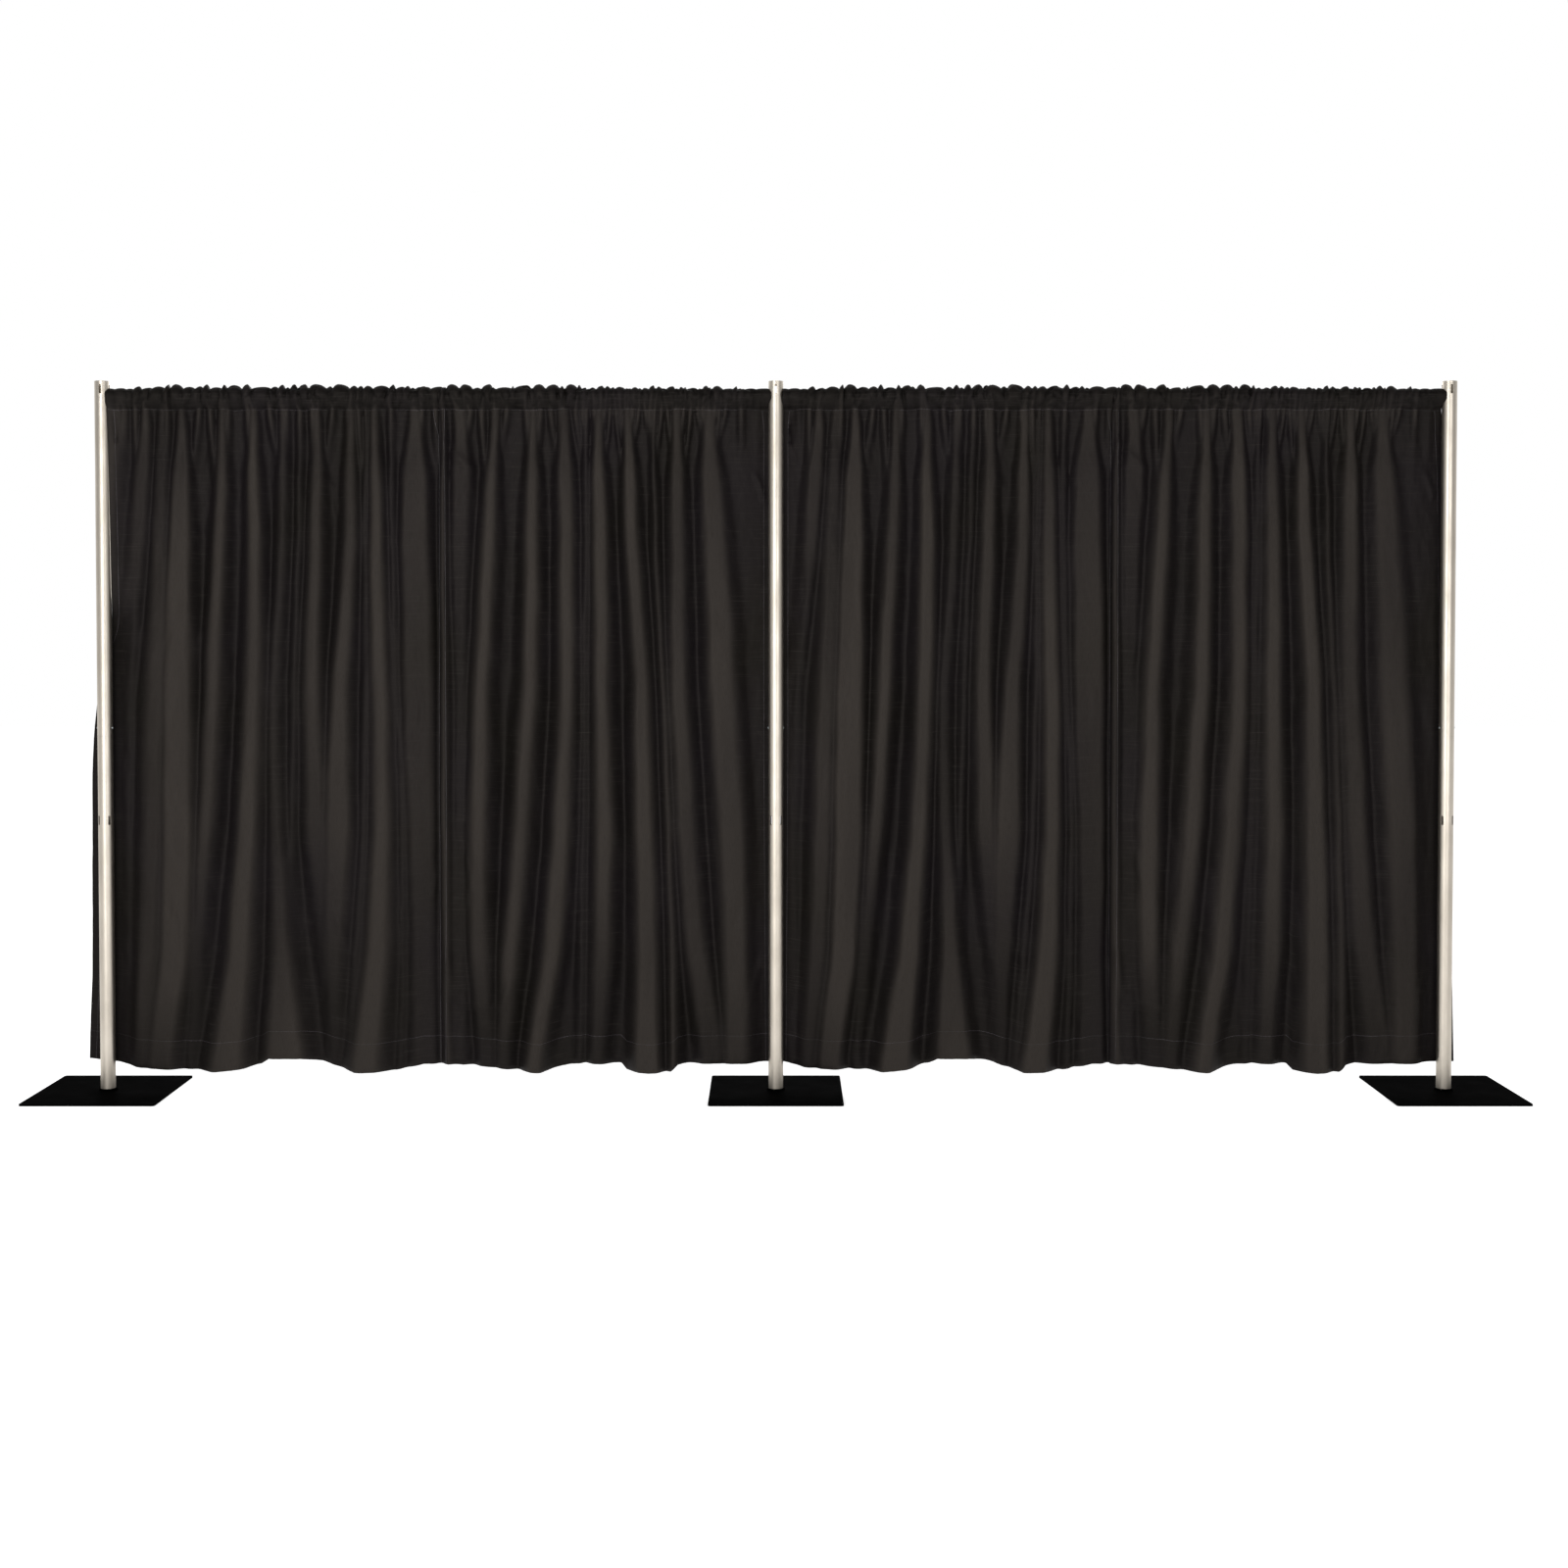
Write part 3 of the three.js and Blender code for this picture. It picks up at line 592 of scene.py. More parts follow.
@dataclass
class Upright:
    """The two slotted tubes of an upright, with the buttons at their joint."""

    side: Side
    x: float
    outer: float = 0.0254
    wall: float = 0.00165
    sides: int = 96
    small_sides: int = 32
    dome_steps: int = 8
    tube_edge_mm: float = 0.35
    button_edge_mm: float = 0.15
    low_slots_z: float = 0.94285
    top_slots_z: float = 2.42415
    slot_width: float = 0.00825
    slot_height: float = 0.031
    slot_corner: float = 0.0016
    slot_reach: tuple[float, float] = (0.01, 0.05)
    button_bore: float = 0.0048
    drill_reach: float = 0.03
    button_radius: float = 0.0043
    button_rise: float = 0.003
    button_tip: float = 0.0004
    flange_radius: float = 0.006
    flange_in: float = 0.01787
    flange_out: float = 0.01937

    def tube(self, node: str, name: str, slot_z: float, first_turn: float) -> bpy.types.Object:
        """Models one slotted tube of the upright, about the upright's own axis.

        Args:
            node: The CAD node that it stands for, without its side.
            name: The piece's name, without its side.
            slot_z: The height of the slots' middle.
            first_turn: The turn of the first slot about the axis, in radians.

        Returns:
            The tube, still at the origin.
        """
        low, high = (corner.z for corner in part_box(f"{self.side.value}_{node}"))
        bore = self.outer - self.wall
        profile = [(bore, low), (self.outer, low), (self.outer, high), (bore, high)]
        tube = lathe(f"{self.side.value}_{name}", profile, self.sides)
        half = Vector((0.0, self.slot_width / 2, self.slot_height / 2))
        near, far = (Vector((reach, 0.0, slot_z)) for reach in self.slot_reach)
        for i in range(4):
            cutter = add_block("slot_cutter", near - half, far + half)
            round_off(cutter, self.slot_corner, 4, lambda a, b: abs(a.x - b.x) > self.outer)
            move(cutter, turn=(0.0, 0.0, first_turn + i * QUARTER_TURN))
            carve(tube, cutter)
        return tube

    def build(self) -> None:
        """Builds, dresses and places the upright's pieces."""
        side = self.side.value
        button_z = sum(corner.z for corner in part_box(f"{side}_button_right")) / 2
        lower = self.tube("lower_tube", "lower_pipe", self.low_slots_z, QUARTER_TURN / 2)
        upper = self.tube("upper_tube", "upper_pipe", self.top_slots_z, 0.0)
        bore, reach = self.button_bore, self.drill_reach
        profile = [(0, -reach), (bore, -reach), (bore, reach), (0, reach)]
        drill = lathe("button_drill", profile, self.small_sides)
        move(drill, (0.0, 0.0, button_z), (0.0, QUARTER_TURN, 0.0))
        carve(upper, drill)
        for tube, node in ((lower, "lower_tube"), (upper, "upper_tube")):
            move(tube, (self.x, 0.0, 0.0))
            ease(tube, self.tube_edge_mm)
            place(tube, f"{side}_upright", UPRIGHT_ALUMINIUM, f"{side}_{node}")
        self.button(button_z, Side.RIGHT, 0.0)
        self.button(button_z, Side.LEFT, math.pi)
        dress(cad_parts[f"{side}_coupler_sleeve"], MILL_ALUMINIUM)
        dress(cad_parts[f"{side}_button_spring"], TEMPERED_SPRING)

    def button(self, z: float, which: Side, turn: float) -> None:
        """Models one domed spring button.

        Args:
            z: Its height.
            which: Its side of the upright.
            turn: Its turn about the upright's axis, in radians.
        """
        node = f"{self.side.value}_button_{which.value}"
        flange, steps = self.flange_radius, self.dome_steps
        profile = [(0.0, self.flange_in), (flange, self.flange_in), (flange, self.flange_out)]
        profile.append((self.button_radius, self.flange_out))
        for i in range(steps):
            angle = QUARTER_TURN * i / steps
            height = self.outer + self.button_rise * math.sin(angle)
            profile.append((self.button_radius * math.cos(angle), height))
        profile += [(radius, self.outer + self.button_rise) for radius in (self.button_tip, 0.0)]
        button = lathe(f"{node}_cap", profile, self.small_sides)
        move(button, (self.x, 0.0, z), (0.0, QUARTER_TURN, turn))
        ease(button, self.button_edge_mm)
        place(button, node, ZINC_PLATE, node)


@dataclass
class Base:
    """A square floor plate with the spigot that the upright drops over."""

    side: Side
    x: float
    plate: float = 0.4572
    thickness: float = 0.00635
    corner: float = 0.010
    bolt_hole: float = 0.0067
    bolt_head: float = 0.0122
    head_depth: float = 0.0008
    cone_depth: float = 0.0063
    overrun: tuple[float, float] = (-0.002, 0.01)
    flange: float = 0.0315
    flange_height: float = 0.006
    weld: float = 0.0018
    weld_height: float = 0.0006
    spigot: float = 0.02325
    spigot_bore: float = 0.02025
    shoulder_height: float = 0.150
    lead_in: float = 0.0015
    spigot_height: float = 0.156
    hole_sides: int = 48
    spigot_sides: int = 64
    plate_edge_mm: float = 0.7
    spigot_edge_mm: float = 0.5

    def build(self) -> None:
        """Builds, dresses and places the base's pieces."""
        side, hole = self.side.value, self.bolt_hole
        half = Vector((self.plate / 2, self.plate / 2, 0.0))
        middle = Vector((self.x, 0.0, 0.0))
        top = middle + half + Vector((0, 0, self.thickness))
        plate = add_block(f"{side}_floor_plate", middle - half, top)
        round_off(plate, self.corner, 8, lambda a, b: abs(a.z - b.z) > self.thickness / 2)
        below, above = self.overrun
        profile = [
            (0.0, below), (self.bolt_head, below), (self.bolt_head, self.head_depth),
            (hole, self.cone_depth), (hole, above), (0.0, above),
        ]
        cutter = lathe("countersink", profile, self.hole_sides)
        move(cutter, middle)
        carve(plate, cutter)
        ease(plate, self.plate_edge_mm, 3)
        node = f"{side}_base_plate"
        place(plate, node, BLACK_POWDER_COAT, node)

        seat, spigot = self.flange_height, self.spigot
        profile = [
            (hole, 0.0), (self.flange, 0.0), (self.flange, seat), (spigot + self.weld, seat),
            (spigot, seat + self.weld_height), (spigot, self.shoulder_height),
            (spigot - self.lead_in, self.spigot_height), (self.spigot_bore, self.spigot_height),
            (self.spigot_bore, seat), (hole, seat),
        ]
        node = f"{side}_base_pin"
        pin = lathe(f"{side}_base_spigot", profile, self.spigot_sides)
        move(pin, (self.x, 0.0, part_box(node)[0].z))
        ease(pin, self.spigot_edge_mm)
        place(pin, node, BLACK_POWDER_COAT, node)
        for node in ("pin_bolt", "pin_nut"):
            dress(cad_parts[f"{side}_{node}"], ZINC_PLATE)


@dataclass
class Crossbar:
    """A bay's telescoping crossbar, with a hook blade at each end."""

    side: Side
    axis_z: float = 2.404
    outer_radius: float = 0.01905
    inner_radius: float = 0.0159
    wall: float = 0.0016
    hook_thickness: float = 0.0048
    root_gap: float = 0.0003
    seat: float = 0.00495
    neck_top: float = 0.01695
    lip_bottom: float = -0.00755
    lip_in: float = 0.0174
    lip_out: float = 0.0232
    shoulder: float = 0.0257
    bar_end: float = 0.0324
    root_end: float = 0.0904
    neck_corner: float = 0.005
    lip_corner: float = 0.0018
    sides: int = 64
    pipe_edge_mm: float = 0.3
    hook_edge_mm: float = 0.35

    def pipe(self, node: str, name: str, radius: float) -> None:
        """Builds one tube of the crossbar.

        Args:
            node: The CAD node that it stands for, without its side or "_tube".
            name: The piece's name, without its side.
            radius: The tube's outer radius.
        """
        node = f"{self.side.value}_{node}"
        low, high = (corner.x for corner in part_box(f"{node}_tube"))
        bore = radius - self.wall
        profile = [(bore, low), (radius, low), (radius, high), (bore, high)]
        pipe = lathe(f"{self.side.value}_{name}", profile, self.sides)
        move(pipe, (0.0, 0.0, self.axis_z), (0.0, QUARTER_TURN, 0.0))
        ease(pipe, self.pipe_edge_mm)
        place(pipe, node, CROSSBAR_ALUMINIUM, f"{node}_tube")

    def hook(self, end: End, bore: float) -> bpy.types.Object:
        """Models a hook blade: a neck block with a lip drawn down and a root drawn into the bar.

        Args:
            end: The end of the crossbar.
            bore: The bore radius of the tube that holds the root.

        Returns:
            The blade.
        """
        half, seat, neck_top = self.hook_thickness / 2, self.seat, self.neck_top
        root_half = math.sqrt((bore - self.root_gap) ** 2 - half**2)
        low, high = Vector((self.lip_in, -half, seat)), Vector((self.shoulder, half, neck_top))
        blade = add_block(f"{self.side.value}_{end.value}_hook_blade", low, high)
        pick(blade, Part.FACES, lambda centre, normal: True)
        bpy.ops.mesh.bisect(plane_co=(self.lip_out, 0.0, 0.0), plane_no=(1.0, 0.0, 0.0))
        leave()
        pick(blade, Part.FACES, lambda at, normal: normal.z < -FACING and at.x < self.lip_out)
        extrude((0.0, 0.0, self.lip_bottom - seat))
        leave()
        pick(blade, Part.FACES, lambda at, normal: normal.x > FACING and at.x > self.lip_out + MM)
        extrude((self.bar_end - self.shoulder, 0.0, 0.0))
        middle = (seat + neck_top) / 2
        bpy.ops.transform.resize(
            value=(1.0, 1.0, 2 * root_half / (neck_top - seat)),
            center_override=(self.bar_end, 0.0, middle),
        )
        bpy.ops.transform.translate(value=(0.0, 0.0, -middle))
        extrude((self.root_end - self.bar_end, 0.0, 0.0))
        leave()
        near = MM / 2
        round_off(
            blade, self.neck_corner, 6,
            lambda a, b: min(a.z, b.z) > neck_top - near and max(a.x, b.x) < self.lip_in + near,
        )
        round_off(
            blade, self.lip_corner, 3,
            lambda a, b: max(a.z, b.z) < self.lip_bottom + near and abs(a.y - b.y) > half,
        )
        sign = -1 if self.side is Side.LEFT else 1
        outboard = end is End.OUTBOARD
        turn = math.pi if outboard == (sign > 0) else 0.0
        move(blade, (sign * BAY if outboard else 0.0, 0.0, self.axis_z), (0.0, 0.0, turn))
        ease(blade, self.hook_edge_mm)
        return blade

    def build(self) -> None:
        """Builds, dresses and places the crossbar's pieces."""
        side = self.side.value
        self.pipe("bar_outer", "crossbar_outer_pipe", self.outer_radius)
        self.pipe("bar_inner", "crossbar_inner_pipe", self.inner_radius)
        for end, radius, body in (
            (End.INBOARD, self.outer_radius, "bar_outer"),
            (End.OUTBOARD, self.inner_radius, "bar_inner"),
        ):
            blade, node = self.hook(end, radius - self.wall), f"{side}_{end.value}_hook"
            place(blade, f"{side}_{body}", ZINC_PLATE, node)
            for i in (1, 2):
                dress(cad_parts[f"{side}_{end.value}_rivet_{i}"], ZINC_PLATE)
        for node in ("mouth_bushing", "inner_glide"):
            dress(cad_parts[f"{side}_{node}"], MOULDED_NYLON)


# From here to the studio, lengths are in mm: x runs along a bay from its left upright, y to the
# back and z up from the floor.
POLE = 25.4
POLE_CLEARANCE = 27.4  # from an upright's axis to the cloth beside it
HALF_SEAM = 0.4  # from the seam to the edge of the panel at each side of it
LANDINGS = (0.0, 1157.0, 2314.0)  # the left upright, the seam of the two panels, the right upright
FOLD_HEIGHTS = (2300.0, 1900.0, 1400.0, 900.0, 450.0, 100.0)  # where each fold's place is given

# Tables of heights and the value at each.
FOLD_DEPTH = ((62, 900, 1400, 1900, 2150, 2300, 2357), (46, 44, 40, 34, 26, 18, 13))
CREST_WIDTH = ((2150, 2357), (1.0, 0.15))
CREST_SOFTNESS = ((1900, 2357), (5.0, 1.8))
# the strength of the painted highlight on the fold crests at each height, strongest low down
CREST_HIGHLIGHT_BY_HEIGHT = ((300, 1200, 2080, 2354), (1.2, 1.0, 1.0, 0.5))
PUSH_FORWARD = ((2200, 2357), (0.0, 5.0))
FLARE = ((62, 1394, 2150, 2260, 2330), (1.0, 0.5, 0.3, 0.16, 0.0))
FAR_LEFT_FLARE = ((62, 380, 1100, 1250, 1360, 1540, 1620), (1.0, 0.87, 0.81, 0.73, 0.6, 0.38, 0.0))
BEHIND = ((2196, 2357), (35.0, 14.0))
FAR_LEFT_BEHIND = ((1610, 1700, 2200, 2357), (36.0, -3.0, -14.0, -18.0))
TUCK = ((2270, 2345), (1.0, 0.0))
RELIEF = ((2250, 2357), (1.0, 0.2))
STITCH_WAVE = ((2290, 2357), (0.0, 1.0))

POCKET_FRONT = 90.0  # the length of the cloth from the stitch line up to the bar's top
FRONT_SHARE = 0.55  # the share of it that lies below the bar's axis
PAST_TOP = 2.0  # the turn about the bar from which the cloth counts as behind it
SETTLE_REACH = 95.0  # how far from an upright the cloth starts to turn in behind it
HUG_REACH = 45.0  # how far from its ends the pocket is drawn up to the uprights
PULL = 45.0  # the most that a pleat leans towards its fold
PLEAT_LEAN = 0.6  # the share of the way to its goal that a pleat leans
PLEAT_TOP, PLEAT_SINK = 0.16, 0.9  # how deep a pleat lies at the stitch line, and sinks in a reach
PLEAT_END = 1.6  # how many reaches down a pleat is left out
VALLEY = 1.35  # the deepest gather, as a share of the full depth
TUCK_LAP, TUCK_DEPTH, TUCK_REACH = 14.0, 9.0, 26.0  # the edge that goes behind the next panel's
SEAM_PUCKER, SEAM_REACH = 1.5, 11.0  # how far the seam's puckers stand out, and reach
HEM_PARTING, HEM_REACH = 2.2, 45.0  # how far the hem's layers part at the panel's edges, and reach
CREST_HIGHLIGHT_SHARPNESS = 3.2  # how quickly the painted highlight falls off from a crest
RUFFLE_HEIGHT = ((0, 0.6, 1), (0.4, 0.65, 1.1))  # by the way up the pocket
RUFFLE_LEAST = 0.15  # the share of its height that a ruffle keeps beside an upright
PLEAT_SEED, RUFFLE_SEED, WRINKLE_SEED = 11, 23, 40

# How a fold wanders on its way down: how far, over what height, and how far out of step with the
# next one.
SWAYS = ((1.5, 131.0, 1.7), (1.0, 57.0, 2.9))


@dataclass(frozen=True)
class Fold:
    """A fold's crest: its place, how far it stands out as a share of the full depth, and half the
    width of its flat top, each at the fold heights, and how round it is."""

    places: tuple[float, ...]
    rises: tuple[float, ...]
    flats: tuple[float, ...]
    roundness: float = 22.0


# The folds of a bay from its left upright to its right one, as they hang in both bays.
SHARP = (0,) * 6
FOLDS = tuple(Fold(*row) for row in (
    ((150, 115, 55, 35, 40, 30), (0.8, 0.7, 0.35, 0.25, 0.3, 0.5), (12,) * 6),
    ((205, 195, 175, 160, 145, 105), (0.55, 0.7, 0.8, 0.8, 0.75, 0.6), (4, 8, 10, 10, 8, 8), 34.0),
    ((272, 265, 252, 252, 232, 185), (0.9, 1, 1, 1, 0.95, 0.8), (12, 22, 30, 32, 26, 22), 16.0),
    ((415, 400, 375, 345, 305, 280), (0.9, 0.9, 0.95, 0.9, 0.45, 0.1), (4, 5, 6, 6, 3, 0)),
    ((520, 520, 515, 490, 460, 410), (1, 1, 1, 1, 1, 1), (4, 6, 8, 10, 14, 30)),
    ((620, 615, 580, 585, 605, 615), (0.7, 0.6, 0.55, 0.6, 0.8, 0.9), (2, 2, 3, 4, 10, 40)),
    ((675, 670, 650, 640, 630, 620), (0.35, 0.4, 0.4, 0.3, 0, 0), SHARP, 14.0),
    ((740, 730, 715, 725, 760, 775), (0.8, 0.9, 0.9, 0.8, 0.3, 0), (5, 6, 8, 14, 8, 0)),
    ((855, 850, 815, 800, 785, 785), (0.9, 0.9, 0.9, 0.9, 0.6, 0.2), (5, 6, 10, 26, 12, 0)),
    ((905, 900, 900, 890, 860, 835), (0.5, 0.45, 0.5, 0.5, 0.4, 0.3), SHARP, 15.0),
    ((935, 940, 950, 955, 935, 900), (0.9, 0.95, 1, 1, 1, 1), (4, 6, 8, 8, 14, 22)),
    ((990, 990, 1005, 1025, 1020, 1010), (0.4, 0.4, 0.5, 0.5, 0.25, 0.2), SHARP, 15.0),
    ((1075, 1072, 1080, 1088, 1095, 1095), (0.8, 0.8, 0.8, 0.7, 0.5, 0.5),
     (26, 32, 34, 28, 20, 26)),
    ((1170, 1170, 1170, 1171, 1174, 1182), (0.8, 0.8, 0.8, 0.8, 0.8, 0.8), SHARP, 7.0),
    ((1235, 1225, 1225, 1220, 1215, 1215), (0.8, 0.55, 0.3, 0.3, 0.4, 0.4), (20, 14, 6, 6, 10, 10)),
    ((1350, 1325, 1300, 1285, 1290, 1310), (0.9, 1, 1, 1, 0.9, 0.4), (4, 6, 6, 8, 10, 10)),
    ((1480, 1475, 1465, 1435, 1395, 1370), (0.9, 1, 1, 1, 0.9, 0.5), (6, 6, 6, 6, 6, 6)),
    ((1585, 1595, 1595, 1575, 1535, 1480), (1, 1, 1, 1, 1, 1), (12, 8, 6, 8, 8, 4)),
    ((1660, 1660, 1655, 1650, 1640, 1635), (0.4, 0.4, 0.4, 0.3, 0.2, 0.1), SHARP, 15.0),
    ((1705, 1710, 1715, 1720, 1715, 1695), (1, 1, 1, 1, 0.8, 0.6), (5, 6, 6, 8, 10, 6)),
    ((1805, 1820, 1850, 1860, 1870, 1870), (1, 1, 1, 1, 1, 1), (8, 8, 10, 14, 18, 24), 14.0),
    ((1890, 1900, 1925, 1945, 1955, 1960), (0.5, 0.6, 0.7, 0.75, 0.75, 0.75), SHARP, 9.0),
    ((1975, 1975, 1980, 2005, 2040, 2095), (0.9, 0.9, 0.9, 0.85, 0.8, 0.6), (8, 8, 10, 12, 16, 22)),
    ((2085, 2105, 2130, 2160, 2180, 2190), (0.9, 0.9, 0.9, 0.9, 0.8, 0.8),
     (14, 20, 24, 24, 22, 28), 34.0),
))

# The height of the hem along a bay.
HEM_LINE = (
    (-65, 108), (25, 98), (100, 84), (365, 70), (475, 81), (530, 96), (560, 116), (670, 116),
    (755, 98), (855, 67), (995, 72), (1095, 96), (1185, 96), (1300, 86), (1435, 71), (1500, 67),
    (1600, 89), (1655, 97), (1775, 93), (1795, 72), (1875, 66), (1950, 70), (1975, 92), (2110, 98),
    (2380, 98),
)


@dataclass(frozen=True)
class Crease:
    """A short crease across the folds: half its width, how far it stands out, and its path."""

    width: float
    rise: float
    path: tuple[tuple[float, float], ...]


CREASES = tuple(Crease(*row) for row in (
    (7, -5, ((200, 650), (235, 625), (262, 585))),
    (8, 4, ((235, 640), (262, 600), (268, 470))),
    (12, 5, ((795, 600), (830, 500), (862, 430))),
    (9, 5, ((1005, 620), (1030, 560), (1058, 580))),
    (13, 9, ((1180, 470), (1195, 330), (1215, 285), (1290, 262), (1370, 290), (1395, 360))),
    (9, -6, ((1200, 300), (1215, 262), (1290, 240), (1380, 262))),
    (8, 5, ((1225, 830), (1245, 800), (1262, 700))),
    (10, -6, ((1480, 205), (1520, 235), (1580, 262))),
    (8, 5, ((1475, 200), (1500, 190), (1560, 205))),
    (9, -5, ((2165, 575), (2200, 600), (2240, 590))),
    (14, 6, ((2262, 420), (2235, 330), (2225, 260))),
    (9, 8, ((2245, 2130), (2262, 2090), (2268, 2060))),
    (16, 7, ((1180, 2240), (1210, 2200), (1270, 2150))),
    (5, -10, ((46, 2334), (47, 2290), (50, 2244))),
    (10, 5, ((1120, 800), (1145, 740), (1128, 660))),
    (12, 4, ((1190, 1310), (1225, 1260), (1290, 1200))),
    (11, 4, ((1060, 1200), (1100, 1290), (1090, 1390))),
    (12, 4, ((760, 2120), (790, 2090), (800, 2020))),
))


@dataclass(frozen=True)
class Pleat:
    """A small pleat below the stitch line, which leans from x to goal and fades within reach."""

    x: float
    goal: float
    reach: float
    roundness: float


@dataclass(frozen=True)
class Ruffle:
    """A puff of the pocket between two sharp creases.

    It has the place of its left crease at the stitch line, how far that crease leans on its way up,
    how far the puff stands out, and at which share of its width it stands out most.
    """

    x: float
    lean: float
    height: float
    peak: float


@dataclass(frozen=True)
class Gathers:
    """How tight a stretch is gathered: the spans of a pleat's spacing and reach, how round it is,
    and the span of a ruffle's width."""

    spacing: tuple[float, float]
    reach: tuple[float, float]
    roundness: float
    width: tuple[float, float]


@dataclass(frozen=True)
class Wrinkles:
    """The short slanting wrinkles of a pocket.

    Each one's start above the stitch line, its run and rise, its depth and its half width are drawn
    from these spans, and they fade out towards the panel's edges.
    """

    number: int = 70
    start: tuple[float, float] = (0, 80)
    run: tuple[float, float] = (4, 38)
    rise: tuple[float, float] = (-45, 45)
    depth: tuple[float, float] = (2.5, 7.0)
    width: tuple[float, float] = (3.0, 5.5)
    fade: float = 60.0


TIGHT = Gathers((14, 26), (80, 200), 2.6, (10, 24))
LOOSE = Gathers((32, 76), (110, 320), 6.0, (12, 52))
TIGHT_STRETCH = (1600, 2140)

# Ripples: how far they stand out, and their least length across and down the cloth.
RIPPLES = ((0.9, 70, 300), (0.7, 40, 160), (0.45, 24, 90), (0.3, 15, 60))


def gathers_at(x: float) -> Gathers:
    """Returns how tight the gathers are at a place."""
    return TIGHT if TIGHT_STRETCH[0] < x < TIGHT_STRETCH[1] else LOOSE


def smooth(share: np.ndarray) -> np.ndarray:
    """Returns a share, held to 0 to 1, on a ramp with both ends rounded."""
    share = np.clip(share, 0, 1)
    return share * share * (3 - 2 * share)


def along_line(
    x: np.ndarray, z: np.ndarray | float, start: Sequence[float], end: Sequence[float],
    width: float,
) -> np.ndarray:
    """Works out how near points lie to a straight line.

    Args:
        x: Their places.
        z: Their heights.
        start: The line's start, as place and height.
        end: Its end.
        width: How far from the line the result has fallen to a third.

    Returns:
        1 on the line, falling to 0 away from it.
    """
    run, rise = end[0] - start[0], end[1] - start[1]
    share = np.clip(((x - start[0]) * run + (z - start[1]) * rise) / (run**2 + rise**2), 0, 1)
    away = np.hypot(x - start[0] - share * run, z - start[1] - share * rise)
    return np.exp(-((away / width) ** 2))


def backwards(points: np.ndarray) -> np.ndarray:
    """Works out which way the back of the cloth faces.

    Args:
        points: Rows by columns of points.

    Returns:
        The unit directions, level and square to the rows, that point to the cloth's back.
    """
    step = np.gradient(points, axis=1)
    back = np.stack([-step[..., 1], step[..., 0], np.zeros(step.shape[:2])], axis=-1)
    return back / np.linalg.norm(back, axis=-1, keepdims=True)


@dataclass(frozen=True)
class PanelSpan:
    """Where one panel lies in its bay.

    behind_start and behind_end are how far the edges reach behind an upright at the hem, tucked
    says that the right edge goes behind the next panel's, and clear is the nearest that the
    pocket's start comes to the upright's axis.
    """

    start: float
    end: float
    behind_start: float = 0.0
    behind_end: float = 0.0
    tucked: bool = False
    clear: float = 0.0

    @property
    def by_left_upright(self) -> bool:
        """Tells whether the panel starts beside the bay's left upright."""
        return self.start < 100.0

    @property
    def by_right_upright(self) -> bool:
        """Tells whether the panel ends beside the bay's right upright."""
        return self.end > LANDINGS[2] - 100.0


